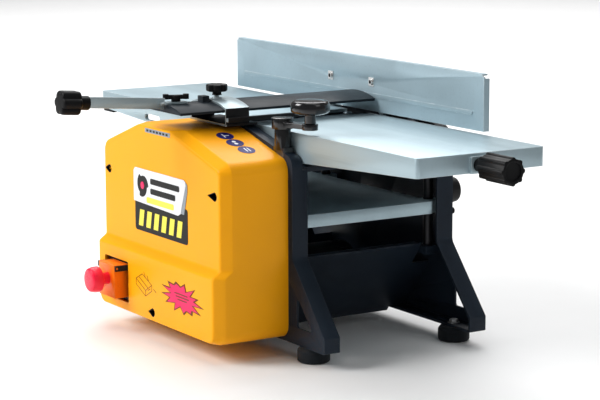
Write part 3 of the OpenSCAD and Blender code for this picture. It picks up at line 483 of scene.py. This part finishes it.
# %% Solids to cut with
def boxy_cutter(name, x, y, z, rounding=2.0):
    """A block with rounded corners, to cut with, between two corners in millimetres."""
    bm = bmesh.new()
    bmesh.ops.create_cube(bm, size=1)
    size = Vector((x[1] - x[0], y[1] - y[0], z[1] - z[0])) * MM
    centre = at(sum(x) / 2, sum(y) / 2, sum(z) / 2)
    for vert in bm.verts:
        vert.co = Vector(a * b for a, b in zip(vert.co, size)) + centre
    upright = [e for e in bm.edges if abs((e.verts[0].co - e.verts[1].co).y) > 1e-5]
    bmesh.ops.bevel(bm, geom=upright, offset=rounding * MM, segments=4, affect="EDGES", profile=0.5)
    return linked(name, mesh_of(bm, name))


def drop_block(bm, x, z, depths, radius, tail):
    """Adds a drop-shaped block along Y to a mesh, its tail pointing to -X; returns its rings."""
    tip = math.acos(radius / tail)
    outline = [(-tail, 0.0)] + [
        (radius * math.cos(a), radius * math.sin(a))
        for a in [math.pi + tip + (2 * math.pi - 2 * tip) * k / 24 for k in range(25)]]
    rings = [[bm.verts.new(at(x + px, y, z + pz)) for px, pz in outline] for y in depths]
    skin_rings(bm, rings)
    return rings


def drop_cutter(name, x, z, y, radius, tail):
    bm = bmesh.new()
    rings = drop_block(bm, x, z, y, radius, tail)
    bm.faces.new(rings[0])
    bm.faces.new(rings[1])
    bmesh.ops.recalc_face_normals(bm, faces=bm.faces)
    return linked(name, mesh_of(bm, name))


# %% [markdown]
# Solidify gives the shell its wall, inwards, before the booleans run, so each hole goes right through.

# %% Hollow and pierce the cover
# screw pockets: X, Z, how far forward the face is there, and the length of the tail
POCKETS = [(-145, 192, COVER_FRONT, 12), (117, 193, COVER_FRONT, 17), (-17.5, 35, COVER_FRONT - STEP_OUT, 12)]
POCKET_RADIUS = 5.4
SWITCH_LOW, SWITCH_HIGH = (in_mm(c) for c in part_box("switch_box"))

cover = lofted_cover()
wall = cover.modifiers.new("wall", "SOLIDIFY")
wall.thickness = WALL * MM
wall.offset = -1
cutters = [boxy_cutter("switch_hole", (SWITCH_LOW.x - 0.5, SWITCH_HIGH.x + 0.5), (-210, -150),
                       (SWITCH_LOW.z - 0.5, SWITCH_HIGH.z + 0.5))]
cutters += [drop_cutter(f"pocket_{i}", x, z, (y - 6, y + 9), POCKET_RADIUS, tail)
            for i, (x, z, y, tail) in enumerate(POCKETS)]
for cutter in cutters:
    cut = cover.modifiers.new(cutter.name, "BOOLEAN")
    cut.operation = "DIFFERENCE"
    cut.solver = "EXACT"
    cut.object = cutter
bpy.context.view_layer.update()
cover_piece = keep(cover, "cover_shell", "frame", "cover_yellow", sharp=28)
for cutter in cutters:
    bpy.data.objects.remove(cutter)
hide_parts("belt_cover")
print("cover:", len(cover_piece.data.polygons), "faces")

# %% [markdown]
# ## Painted shade in the screw pockets
# Each drop-shaped hole gets a black lining as painted shade, standing for the shade inside the pocket: an
# outer and an inner wall, joined by a rim in front, with a floor for the screw's head.  Three linings are one
# mesh.

# %% Black linings, as painted shade
bm = bmesh.new()
for x, z, y, tail in POCKETS:
    outer = drop_block(bm, x, z, (y + 0.3, y + 13.5), POCKET_RADIUS - 0.06, tail - 0.2)
    inner = drop_block(bm, x, z, (y + 0.3, y + 12.5), POCKET_RADIUS - 0.8, tail - 2.4)
    skin_rings(bm, [outer[0], inner[0]])
    bm.faces.new(outer[1])
    bm.faces.new(inner[1])
bmesh.ops.recalc_face_normals(bm, faces=bm.faces)
cups = keep(linked("cups", mesh_of(bm, "screw_cups")), "screw_cups", "frame", "label_black")
print("linings:", len(POCKETS), "in one mesh of", len(cups.data.polygons), "faces")

# %% [markdown]
# ## Screws, by Geometry Nodes
# A screw is always the same screw, so it is modelled once: a domed head with a cross sunk into it.  A node
# tree then puts a copy on each point of a small mesh, turns it the way the point's own `facing`
# attribute says, scales it by `size`, makes the copies real and gives them their metal.

# %% Stacks of circles
def circle_of(bm, radius, z, steps, start=0.0):
    """Corners on a level circle, in the mesh's own units."""
    return [bm.verts.new((radius * math.cos(start + 2 * math.pi * k / steps),
                          radius * math.sin(start + 2 * math.pi * k / steps), z)) for k in range(steps)]


def closed_stack(bm, rings):
    """Skins rings from the bottom up and closes both ends."""
    skin_rings(bm, rings)
    bm.faces.new(rings[-1])
    bm.faces.new(list(reversed(rings[0])))


# %% [markdown]
# The head's dome is a stack of circles that narrow upwards.  Two crossed bars are cut from its top.  The
# hexagon head is two stacks: a round washer, and six corners with a small chamfer above.

# %% The two heads
DOME = [(1.0, 0.0), (1.0, 0.16), (0.94, 0.34), (0.78, 0.47), (0.52, 0.53)]
SLOT_SIZE, SLOT_MIDDLE = (1.3, 0.24, 0.6), 0.52


def screw_head():
    """A domed head of unit radius on +Z, with a cross sunk into it."""
    bm = bmesh.new()
    closed_stack(bm, [circle_of(bm, r, z, 24) for r, z in DOME])
    head = linked("screw_head", mesh_of(bm, "screw_head"))
    cutters = []
    for turn in range(2):
        bm = bmesh.new()
        bmesh.ops.create_cube(bm, size=1)
        bmesh.ops.scale(bm, verts=bm.verts, vec=SLOT_SIZE)
        bmesh.ops.rotate(bm, verts=bm.verts, matrix=Matrix.Rotation(turn * math.pi / 2, 3, "Z"))
        bmesh.ops.translate(bm, verts=bm.verts, vec=(0, 0, SLOT_MIDDLE))
        cutters.append(linked(f"slot_{turn}", mesh_of(bm, "slot")))
        cut = head.modifiers.new("slot", "BOOLEAN")
        cut.object = cutters[-1]
    bpy.context.view_layer.update()
    graph = bpy.context.evaluated_depsgraph_get()
    finished = bpy.data.meshes.new_from_object(head.evaluated_get(graph), depsgraph=graph)
    for thing in (head, *cutters):
        bpy.data.objects.remove(thing)
    finished.shade_smooth()
    finished.set_sharp_from_angle(angle=math.radians(30))
    return finished


def hex_head():
    """A hexagon head of unit size across its corners, chamfered on top, with a washer under it."""
    bm = bmesh.new()
    closed_stack(bm, [circle_of(bm, 1.35, z, 36) for z in (0.0, 0.14)])
    closed_stack(bm, [circle_of(bm, r, z, 6) for r, z in ((1.0, 0.15), (1.0, 0.75), (0.84, 0.85))])
    return mesh_of(bm, "hex_head")


# %% [markdown]
# Every tree below starts and ends alike: named inputs, and at the end Realize Instances and Set Material.

# %% Begin and end a tree
def tree_with(name, inputs):
    """An empty node tree with a geometry in and out, and the named inputs."""
    tree = bpy.data.node_groups.new(name, "GeometryNodeTree")
    tree.interface.new_socket("Geometry", in_out="INPUT", socket_type="NodeSocketGeometry")
    for label, kind, value in inputs:
        socket = tree.interface.new_socket(label, in_out="INPUT", socket_type=kind)
        if value is not None:
            socket.default_value = value
    tree.interface.new_socket("Geometry", in_out="OUTPUT", socket_type="NodeSocketGeometry")
    return tree, tree.nodes.new("NodeGroupInput"), tree.nodes.new("NodeGroupOutput")


def set_inputs(modifier, **values):
    """Sets a modifier's inputs by their identifiers, looked up from their names."""
    for item in modifier.node_group.interface.items_tree:
        label = item.name.replace(" ", "_").lower()
        if getattr(item, "in_out", "") == "INPUT" and label in values:
            modifier[item.identifier] = values[label]


def ending(tree, geometry, given, out):
    """Realizes instances, sets the material and leaves the tree."""
    real = tree.nodes.new("GeometryNodeRealizeInstances")
    paint = tree.nodes.new("GeometryNodeSetMaterial")
    tree.links.new(geometry, real.inputs[0])
    tree.links.new(real.outputs[0], paint.inputs["Geometry"])
    tree.links.new(given.outputs["Material"], paint.inputs["Material"])
    tree.links.new(paint.outputs[0], out.inputs[0])


# %% [markdown]
# This tree turns the corners of a mesh into points, and puts the head on each of them.

# %% The tree that sets screws on points
def screws_tree():
    tree, given, out = tree_with("screws_on_points", [
        ("Screw", "NodeSocketObject", None), ("Size", "NodeSocketFloat", 0.004),
        ("Material", "NodeSocketMaterial", None)])
    shape = tree.nodes.new("GeometryNodeObjectInfo")
    tree.links.new(given.outputs["Screw"], shape.inputs["Object"])
    facing = tree.nodes.new("GeometryNodeInputNamedAttribute")
    facing.data_type = "FLOAT_VECTOR"
    facing.inputs["Name"].default_value = "facing"
    turn = tree.nodes.new("FunctionNodeAlignRotationToVector")
    turn.axis = "Z"
    tree.links.new(facing.outputs["Attribute"], turn.inputs["Vector"])
    points = tree.nodes.new("GeometryNodeMeshToPoints")
    tree.links.new(given.outputs["Geometry"], points.inputs["Mesh"])
    copies = tree.nodes.new("GeometryNodeInstanceOnPoints")
    tree.links.new(points.outputs["Points"], copies.inputs["Points"])
    tree.links.new(shape.outputs["Geometry"], copies.inputs["Instance"])
    tree.links.new(turn.outputs["Rotation"], copies.inputs["Rotation"])
    tree.links.new(given.outputs["Size"], copies.inputs["Scale"])
    ending(tree, copies.outputs["Instances"], given, out)
    return tree


SCREWS = screws_tree()
print("screw tree:", len(SCREWS.nodes), "nodes")


def screws(name, head, places, size, body, material, replaced=()):
    """Screw heads at places, each a point and the way it faces, made one mesh."""
    mesh = bpy.data.meshes.new(name)
    mesh.from_pydata([tuple(p) for p, _ in places], [], [])
    facing = mesh.attributes.new("facing", "FLOAT_VECTOR", "POINT")
    for i, (_, way) in enumerate(places):
        facing.data[i].vector = way
    holder = linked(name + "_points", mesh)
    shape = linked(name + "_head", head)
    maker = holder.modifiers.new("screws", "NODES")
    maker.node_group = SCREWS
    set_inputs(maker, screw=shape, size=size * MM, material=FINISHES[material])
    bpy.context.view_layer.update()
    piece = keep(holder, name, body, material, sharp=30)
    bpy.data.objects.remove(shape)
    if replaced:
        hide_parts(*replaced)
    print(f"{name}: {len(places)} heads, {len(piece.data.polygons)} faces")
    return piece


# %% [markdown]
# Crosshead screws hold the belt cover in its pockets and the gear cover at its corners.  Hexagon bolts
# with washers hold the rubber feet.  Both stand for packed screws, so they take the place of those.

# %% Set the screws
CROSS, HEX = screw_head(), hex_head()
OUT_Y, BACK_Y, UP = Vector((0, -1, 0)), Vector((0, 1, 0)), Vector((0, 0, 1))
GEAR_HIGH = in_mm(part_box("gear_cover")[1])
GEAR_FACE = GEAR_HIGH.y - 12
GEAR_SCREWS = [(x, z) for x in (-88, 106) for z in (144, 238)]
heads = [(at(x, y + 12.4, z), OUT_Y) for x, z, y, _ in POCKETS]
heads += [(at(x, GEAR_FACE, z), BACK_Y) for x, z in GEAR_SCREWS]
# The cover's screw heads are dark steel, partly as painted shade in their pockets.
screws("cover_screw_heads", CROSS, heads, 4.2, "frame", "dark_steel", ["cover_screws"])

NEAR_Y, FAR_Y = in_mm(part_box("near_side_plate")[0]).y, in_mm(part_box("far_side_plate")[1]).y
FEET = [(x, y) for x in (-192, 168) for y in (NEAR_Y + 14, FAR_Y - 14)]
FOOT_TOP = in_mm(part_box("rubber_feet")[1]).z + 3
screws("foot_bolts", HEX, [(at(x, y, FOOT_TOP + 0.02), UP) for x, y in FEET], 5.5, "frame",
       "zinc_steel", ["foot_screws"])

# %% [markdown]
# ## Star knobs, by Geometry Nodes
# The guard and the fence are clamped by star knobs.  Their shape follows a rule: going round, the radius
# swells and dips once a lobe; going up, it follows a squashed circle, flat on top with soft edges.  The
# tree bends a flat grid into that shape, so one tree makes every knob from its radius, height, lobe count
# and lobe depth.

# %% The tree that bends a grid into a knob
def knob_tree():
    tree, given, out = tree_with("lobed_knob", [
        ("Radius", "NodeSocketFloat", 0.015), ("Height", "NodeSocketFloat", 0.02),
        ("Lobes", "NodeSocketFloat", 6.0), ("Depth", "NodeSocketFloat", 0.003),
        ("Squareness", "NodeSocketFloat", 0.28), ("Material", "NodeSocketMaterial", None)])
    grid = tree.nodes.new("GeometryNodeMeshGrid")
    for label, value in (("Size X", 1), ("Size Y", 1), ("Vertices X", 145), ("Vertices Y", 26)):
        grid.inputs[label].default_value = value
    place = tree.nodes.new("GeometryNodeInputPosition")
    parts = tree.nodes.new("ShaderNodeSeparateXYZ")
    tree.links.new(place.outputs[0], parts.inputs[0])
    round_it = calc(tree, "MULTIPLY", calc(tree, "ADD", parts.outputs["X"], 0.5), 2 * math.pi)
    up = calc(tree, "MULTIPLY", calc(tree, "ADD", parts.outputs["Y"], 0.5), math.pi)
    wave = calc(tree, "ABSOLUTE", calc(tree, "COSINE", calc(tree, "MULTIPLY", round_it,
                calc(tree, "MULTIPLY", given.outputs["Lobes"], 0.5))))
    lobe = calc(tree, "MULTIPLY", given.outputs["Depth"],
                calc(tree, "SUBTRACT", calc(tree, "POWER", wave, 0.8), 1.0))
    sine = calc(tree, "MAXIMUM", calc(tree, "SINE", up), 0.0)
    squash = calc(tree, "POWER", sine, given.outputs["Squareness"])
    reach = calc(tree, "MULTIPLY", calc(tree, "ADD", given.outputs["Radius"], lobe), squash)
    cosine = calc(tree, "COSINE", up)
    level = calc(tree, "MULTIPLY", calc(tree, "SIGN", cosine),
                 calc(tree, "POWER", calc(tree, "ABSOLUTE", cosine), given.outputs["Squareness"]))
    height = calc(tree, "MULTIPLY", calc(tree, "SUBTRACT", 1.0, level),
                  calc(tree, "MULTIPLY", given.outputs["Height"], 0.5))
    joined = tree.nodes.new("ShaderNodeCombineXYZ")
    tree.links.new(calc(tree, "MULTIPLY", reach, calc(tree, "COSINE", round_it)), joined.inputs["X"])
    tree.links.new(calc(tree, "MULTIPLY", reach, calc(tree, "SINE", round_it)), joined.inputs["Y"])
    tree.links.new(height, joined.inputs["Z"])
    bent = tree.nodes.new("GeometryNodeSetPosition")
    tree.links.new(grid.outputs["Mesh"], bent.inputs["Geometry"])
    tree.links.new(joined.outputs[0], bent.inputs["Position"])
    seam = tree.nodes.new("GeometryNodeMergeByDistance")
    tree.links.new(bent.outputs[0], seam.inputs["Geometry"])
    seam.inputs["Distance"].default_value = 0.00001
    ending(tree, seam.outputs[0], given, out)
    return tree


KNOB = knob_tree()
print("knob tree:", len(KNOB.nodes), "nodes")


# %% [markdown]
# A knob stands on a turned neck.  The two are one mesh, set upright first and then moved to its place.

# %% A knob on its neck
def turned_neck(profile):
    """A round neck, from pairs of radius and height in millimetres, closed at both ends."""
    bm = bmesh.new()
    closed_stack(bm, [circle_of(bm, r * MM, z * MM, 32) for r, z in profile])
    return linked("neck", mesh_of(bm, "neck"))


def knob(node, place, axis, start, radius, height, lobes, depth, neck, squareness=0.28):
    """A knob on its neck, standing on place and pointing along axis, in place of a packed one."""
    base = linked("blank", bpy.data.meshes.new("blank"))
    maker = base.modifiers.new("knob", "NODES")
    maker.node_group = KNOB
    set_inputs(maker, radius=radius * MM, height=height * MM, lobes=float(lobes), depth=depth * MM,
               squareness=squareness, material=FINISHES["knob_black"])
    bpy.context.view_layer.update()
    graph = bpy.context.evaluated_depsgraph_get()
    bm = bmesh.new()
    bm.from_mesh(base.evaluated_get(graph).data)
    bmesh.ops.translate(bm, verts=bm.verts, vec=(0, 0, start * MM))
    stem = turned_neck(neck)
    bm.from_mesh(stem.data)
    thing = linked(node, mesh_of(bm, node))
    for blank in (base, stem):
        bpy.data.objects.remove(blank)
    thing.matrix_world = Matrix.Translation(place) @ Vector(axis).to_track_quat("Z", "Y").to_matrix().to_4x4()
    bpy.context.view_layer.update()
    piece = keep(thing, node + "_finished", BODY_OF[node], "knob_black", sharp=40)
    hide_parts(node)
    print(f"{piece.name}: {len(piece.data.polygons)} faces")
    return piece


# %% [markdown]
# The end knob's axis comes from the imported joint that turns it, so it stays true to the tilted bar.

# %% Make the knobs
JOINTS = {joint["name"]: joint for joint in frame["joints"]}
star = middle("guard_star_knob")
star_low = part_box("guard_star_knob")[0]
knob("guard_star_knob", Vector((star.x, star.y, star_low.z)), UP, 4.0, 13.0, 9.0, 7, 2.6,
     [(6, 0), (5.4, 1), (5.4, 4), (7, 6)])

turn_joint = JOINTS["guard_end_knob_turn"]
knob_axis = Vector(turn_joint["axis"]).normalized()
bar_end = Vector(turn_joint["pos_m"])
packed_knob = frame["nodes"]["guard_end_knob"]
along = [(packed_knob.matrix_world @ v.co - bar_end).dot(knob_axis) for v in packed_knob.data.vertices]
knob_base, knob_length = bar_end + knob_axis * min(along), (max(along) - min(along)) / MM
knob("guard_end_knob", knob_base, knob_axis, 12.0, 14.9, knob_length - 12.2, 6, 3.2,
     [(8, 0), (8.4, 1.2), (8.2, 10), (10, 13)], squareness=0.24)

lock_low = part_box("fence_lock_knob")[0]
lock = middle("fence_lock_knob")
knob("fence_lock_knob", Vector((lock_low.x, lock.y, lock.z)), Vector((1, 0, 0)), 8.0, 11.0, 15.0, 6, 2.4,
     [(7, 0), (6.6, 1), (6.6, 7), (8, 9)])

# %% [markdown]
# ## Labels
# The cover carries a two-part badge, a red burst, a faint line drawing, a grey strip and three round blue
# signs.  Real ones are printed foil a fraction of a millimetre thick, so each is a thin plate with its own
# finish.  What is printed is generic: bars, a cutter wheel and plain strokes, with no words.

# %% Helpers for flat labels
FOIL = 0.35


def plates(name, outlines, place, right, up, material, lift=0.0, thick=FOIL, body="frame"):
    """Flat outlines in millimetres, drawn on a plane through place, given a thickness towards its front."""
    right, up = Vector(right).normalized(), Vector(up).normalized()
    front = right.cross(up)
    bm = bmesh.new()
    for outline in outlines:
        rings = []
        for level in (lift, lift + thick):
            rings.append([bm.verts.new(place + (right * u + up * v + front * level) * MM)
                          for u, v in outline])
        closed_stack(bm, rings)
    bmesh.ops.recalc_face_normals(bm, faces=bm.faces)
    bmesh.ops.triangulate(bm, faces=[f for f in bm.faces if len(f.verts) > 4])
    piece = keep(linked(name + "_plate", mesh_of(bm, name)), name, body, material, sharp=20)
    print(f"{name}: {len(outlines)} outlines, {len(piece.data.polygons)} faces")
    return piece


def rectangle(u0, v0, u1, v1):
    return [(u0, v0), (u1, v0), (u1, v1), (u0, v1)]


def disc(u, v, radius, steps=40):
    return [(u + radius * math.cos(2 * math.pi * k / steps), v + radius * math.sin(2 * math.pi * k / steps))
            for k in range(steps)]


def stroke(a, b, width):
    """A straight line of some width, as an outline."""
    a, b = Vector(a), Vector(b)
    side = Vector((a.y - b.y, b.x - a.x)).normalized() * width / 2
    return [tuple(a + side), tuple(a - side), tuple(b - side), tuple(b + side)]


def round_rect(u0, v0, u1, v1, radius, steps=5):
    return [tuple(p) for p in rounded_outline(rectangle(u0, v0, u1, v1), [radius] * 4, 0, steps)]


# %% [markdown]
# The badge: a white plate, its lower right corner cut on a slant, lying over a black one with pale
# strokes.  A cutter wheel with three teeth stands where a maker would print a name.

# %% The badge
BADGE = at(-12, COVER_FRONT, 161)
EAST, UPWARD = (1, 0, 0), (0, 0, 1)
plates("badge_black", [round_rect(-65, -34, 66, 8, 4)], BADGE, EAST, UPWARD, "label_black")
plates("badge_shadow", [[(-62, 4), (58, 1), (66, 28), (66, 37), (60, 41), (-62, 41)]], BADGE, EAST, UPWARD,
       "label_grey", lift=0.30)
plates("badge_white", [[(-67, 1), (44, -2), (50, 1), (63, 36), (62, 40), (58, 42), (-63, 42), (-67, 38)]],
       BADGE, EAST, UPWARD, "label_white", lift=0.62)


def cutter_wheel(u, v, radius, teeth=3):
    """A round cutter head with hooked teeth, as outlines."""
    points = []
    for k in range(teeth * 12):
        angle = 2 * math.pi * k / (teeth * 12)
        reach = radius * (1 - 0.28 * (k % 12) / 12)
        points.append((u + reach * math.cos(angle), v + reach * math.sin(angle)))
    return points


WHEEL_PLACE = (-44, 22)
BARS = [round_rect(-24, 26, 48, 33, 2), round_rect(-24, 14, 38, 21, 2)]
plates("badge_print", [cutter_wheel(*WHEEL_PLACE, 15)] + BARS, BADGE, EAST, UPWARD, "label_black",
       lift=0.98, thick=0.2)
plates("badge_dot", [disc(*WHEEL_PLACE, 4.5)], BADGE, EAST, UPWARD, "label_red", lift=1.2, thick=0.2)
plates("badge_band", [round_rect(-34, 2.5, 34, 9.5, 2)], BADGE, EAST, UPWARD, "label_lemon", lift=0.98,
       thick=0.2)
SLASHES = [[(u, -28), (u + 11, -28), (u + 15, -8), (u + 4, -8)] for u in range(-56, 40, 19)]
plates("badge_slashes", SLASHES, BADGE, EAST, UPWARD, "label_lemon", lift=FOIL, thick=0.2)

# %% [markdown]
# The red burst is a star with uneven points.  Geometry Nodes has a star curve, so a small tree draws
# it, fills it and gives it thickness; a second, larger one makes the dark outline behind.

# %% The burst
def burst_tree():
    tree, given, out = tree_with("burst", [
        ("Points", "NodeSocketInt", 13), ("Inner", "NodeSocketFloat", 0.011),
        ("Outer", "NodeSocketFloat", 0.019), ("Ragged", "NodeSocketFloat", 0.004),
        ("Thickness", "NodeSocketFloat", 0.0004),
        ("Material", "NodeSocketMaterial", None)])
    star_curve = tree.nodes.new("GeometryNodeCurveStar")
    for label, source in (("Points", "Points"), ("Inner Radius", "Inner"), ("Outer Radius", "Outer")):
        tree.links.new(given.outputs[source], star_curve.inputs[label])
    uneven = tree.nodes.new("FunctionNodeRandomValue")
    uneven.data_type = "FLOAT"
    uneven.inputs["Seed"].default_value = 7
    place = tree.nodes.new("GeometryNodeInputPosition")
    outward = tree.nodes.new("ShaderNodeVectorMath")
    outward.operation = "NORMALIZE"
    tree.links.new(place.outputs[0], outward.inputs[0])
    push = tree.nodes.new("ShaderNodeVectorMath")
    push.operation = "SCALE"
    tree.links.new(outward.outputs["Vector"], push.inputs[0])
    tree.links.new(calc(tree, "MULTIPLY", uneven.outputs[1], given.outputs["Ragged"]), push.inputs["Scale"])
    ragged = tree.nodes.new("GeometryNodeSetPosition")
    tree.links.new(star_curve.outputs["Curve"], ragged.inputs["Geometry"])
    tree.links.new(push.outputs["Vector"], ragged.inputs["Offset"])
    wide = tree.nodes.new("GeometryNodeTransform")
    wide.inputs["Scale"].default_value = (2.15, 0.86, 1)
    tree.links.new(ragged.outputs[0], wide.inputs["Geometry"])
    fill = tree.nodes.new("GeometryNodeFillCurve")
    tree.links.new(wide.outputs[0], fill.inputs["Curve"])
    extrude = tree.nodes.new("GeometryNodeExtrudeMesh")
    extrude.inputs["Individual"].default_value = False
    tree.links.new(fill.outputs[0], extrude.inputs["Mesh"])
    tree.links.new(given.outputs["Thickness"], extrude.inputs["Offset Scale"])
    ending(tree, extrude.outputs["Mesh"], given, out)
    return tree


BURST = burst_tree()
print("burst tree:", len(BURST.nodes), "nodes")


# %% [markdown]
# The star is drawn lying down, so it is stood up against the cover and leant a little.

# %% Set the burst on the cover
def burst(name, place, inner, outer, lift, thick, material):
    blank = linked("blank", bpy.data.meshes.new("blank"))
    maker = blank.modifiers.new("burst", "NODES")
    maker.node_group = BURST
    set_inputs(maker, points=13, inner=inner * MM, outer=outer * MM, ragged=5.0 * MM, thickness=thick * MM,
               material=FINISHES[material])
    lean = Matrix.Rotation(math.radians(4), 4, "Y")
    blank.matrix_world = Matrix.Translation(place + Vector((0, -lift * MM, 0))) @ lean @ Matrix.Rotation(
        math.pi / 2, 4, "X")
    bpy.context.view_layer.update()
    return keep(blank, name, "frame", material, sharp=20)


BURST_PLACE = at(56, COVER_FRONT - STEP_OUT, 66)
burst("burst_outline", BURST_PLACE, 12.3, 20.4, 0.0, FOIL, "label_brown")
burst("burst_red", BURST_PLACE, 10.6, 17.4, FOIL, 0.2, "label_red")
BURST_LINES = [rectangle(-17, 3.6, 14, 4.8), rectangle(-14, 0.2, 17, 1.4), rectangle(-10, -3.2, 12, -2.0)]
plates("burst_strokes", BURST_LINES,
       BURST_PLACE, EAST, UPWARD, "label_brown", lift=0.56, thick=0.12)

# %% [markdown]
# The line drawing beside it shows a board going over the machine: thin printed strokes, no thicker than
# ink would be.  The strip above and the three blue signs are plates too; the signs lie on the roof's slope.

# %% Line drawing, strip and signs
SKETCH = at(-33, COVER_FRONT - STEP_OUT, 66)
PATHS = [[(-26, 4), (-10, 12), (14, 2), (-2, -7), (-26, 4)], [(-26, 4), (-26, -3), (-2, -14), (-2, -7)],
         [(-2, -14), (14, -5), (14, 2)], [(-18, 7), (4, -3)], [(-6, 15), (-2, 9)], [(2, 12), (6, 6)],
         [(18, -2), (25, -5)], [(4, -6), (10, -3)]]
lines = [stroke(a, b, 0.8) for path in PATHS for a, b in zip(path, path[1:])]
plates("line_drawing", lines, SKETCH, EAST, UPWARD, "label_brown", thick=0.15)
STRIP = at(-18, COVER_FRONT, 250.8)
plates("grey_strip", [rectangle(-31, -2.6, 31, 2.6)], STRIP, EAST, UPWARD, "label_grey")
plates("strip_print", [rectangle(u, -1.3, u + 5, 1.3) for u in range(-27, 24, 8)], STRIP, EAST, UPWARD,
       "label_black", lift=FOIL, thick=0.12)
SLOPE = Vector((108, 0, -29)).normalized()
SLOPE_FRONT = Vector((29, 0, 108)).normalized()
SIGNS = [(52.8, -135.8), (74.1, -134.8), (95.6, -132.1)]
for number, (x, y) in enumerate(SIGNS):
    spot = at(x, y, 258 - (x - 28) * 29 / 108)
    inward = SLOPE_FRONT.cross(SLOPE)
    plates(f"round_sign_{number}", [disc(0, 0, 10.4)], spot, SLOPE, inward, "label_blue")
    marks = [[stroke((-5, -2), (5, -2), 1.4), stroke((0, -2), (0, 5), 1.4)],
             [disc(-3, 0, 2.4), disc(3, 0, 2.4)],
             [stroke((-5, 3), (5, 3), 1.4), stroke((-5, -1), (5, -1), 1.4)]][number]
    plates(f"sign_mark_{number}", marks, spot, SLOPE, inward, "label_white", lift=FOIL, thick=0.15)

# %% [markdown]
# Two small touches in metal, both painted shade: the fence's bolts get black discs for the shade in their
# sockets, and the guard's bridge is black below the bright arch, for the shade under the arch.

# %% Painted shade in the bolt sockets and on the bridge's feet
# Black discs on the bolt heads are painted shade standing for the shaded socket holes.
bolt_low, bolt_high = (in_mm(corner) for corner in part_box("fence_bolts"))
bolt_r = (bolt_high.z - bolt_low.z) / 2
bolt_z = (bolt_low.z + bolt_high.z) / 2
socket_shade_discs = [disc(x, bolt_z, bolt_r * 0.42) for x in (bolt_low.x + bolt_r, bolt_high.x - bolt_r)]
plates("bolt_sockets", socket_shade_discs, at(0, bolt_low.y, 0), EAST, UPWARD, "label_black", thick=0.15,
       body="fence")

# The bridge's faces below the guard's top are set black as painted shade under the arch.
bridge = bpy.data.objects["guard_bridge_finished"].data
bridge.materials.append(FINISHES["black_plastic"])
foot_top = in_mm(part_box("guard_blade")[0]).z + 2.5
feet = [face for face in bridge.polygons if in_mm(face.center).z < foot_top]
for face in feet:
    face.material_index = 1
print(len(feet), "faces of the bridge are black")

# %% [markdown]
# ## The room
# A pale floor that runs back as far as the eye can see, one large soft light from the upper left, which
# lights the cover's face, one from above for the tables, a weak one from the right, and a wide one over
# the floor behind, so that the ground stays white all the way back.

# %% Floor, lights and sky
floor_mesh = bpy.data.meshes.new("floor")
floor_mesh.from_pydata([(-30, -30, 0), (30, -30, 0), (30, 30, 0), (-30, 30, 0)], [], [(0, 1, 2, 3)])
floor = linked("floor", floor_mesh)
floor_mesh.materials.append(
    finish("floor_pale", (0.90, 0.90, 0.90), 0.6, vary=0.01, grain=300, bump=0.0, dirt=0.0))


def soft_light(name, place, target, size, power):
    lamp = bpy.data.lights.new(name, "AREA")
    lamp.energy = power
    lamp.size = size
    light = bpy.data.objects.new(name, lamp)
    light.location = place
    light.rotation_euler = (Vector(target) - Vector(place)).to_track_quat("-Z", "Y").to_euler()
    bpy.context.scene.collection.objects.link(light)
    return light


soft_light("key", (-1.2, -2.4, 2.0), (0, 0, 0.15), 1.6, 92)
soft_light("side", (2.6, 0.8, 1.8), (0, 0, 0.15), 1.4, 7)
soft_light("top", (0.2, 0.2, 2.6), (0, 0, 0.2), 1.8, 20)
soft_light("backdrop", (-2.8, 1.9, 3.2), (-2.8, 1.9, 0), 4.0, 190)

sky = bpy.data.worlds.new("studio")
sky.use_nodes = True
sky.node_tree.nodes["Background"].inputs["Color"].default_value = (1.0, 1.0, 1.0, 1)
sky.node_tree.nodes["Background"].inputs["Strength"].default_value = 0.22
bpy.context.scene.world = sky
bpy.context.scene.view_settings.view_transform = "Standard"

# %% [markdown]
# ## The camera
# It stands to the right of the switch side, a little above the tables, and looks down along the machine
# with a long lens, which keeps the tables' edges nearly parallel.

# %% Place the camera
CAMERA_PLACE = at(2145.5, -1333, 587)
AZIMUTH, DOWN, ROLL = math.radians(58.16), math.radians(9.69), math.radians(-0.17)
looking = Vector((-math.sin(AZIMUTH) * math.cos(DOWN), math.cos(AZIMUTH) * math.cos(DOWN), -math.sin(DOWN)))
lens = bpy.data.cameras.new("camera")
lens.sensor_width = 36
lens.lens = 125.5
lens.clip_start = 0.05
camera = bpy.data.objects.new("camera", lens)
camera.location = CAMERA_PLACE
camera.rotation_mode = "QUATERNION"
camera.rotation_quaternion = looking.to_track_quat("-Z", "Y") @ Matrix.Rotation(ROLL, 3, "Z").to_quaternion()
bpy.context.scene.collection.objects.link(camera)
bpy.context.scene.camera = camera
print("camera", round((CAMERA_PLACE - at(0, 0, 150)).length, 2), "m from the cutter, lens", lens.lens, "mm")

# %% [markdown]
# ## The scene is updated once more at the end.
# The looks may not outgrow the design, so both boxes are written side by side.

# %% Finish
bpy.context.view_layer.update()
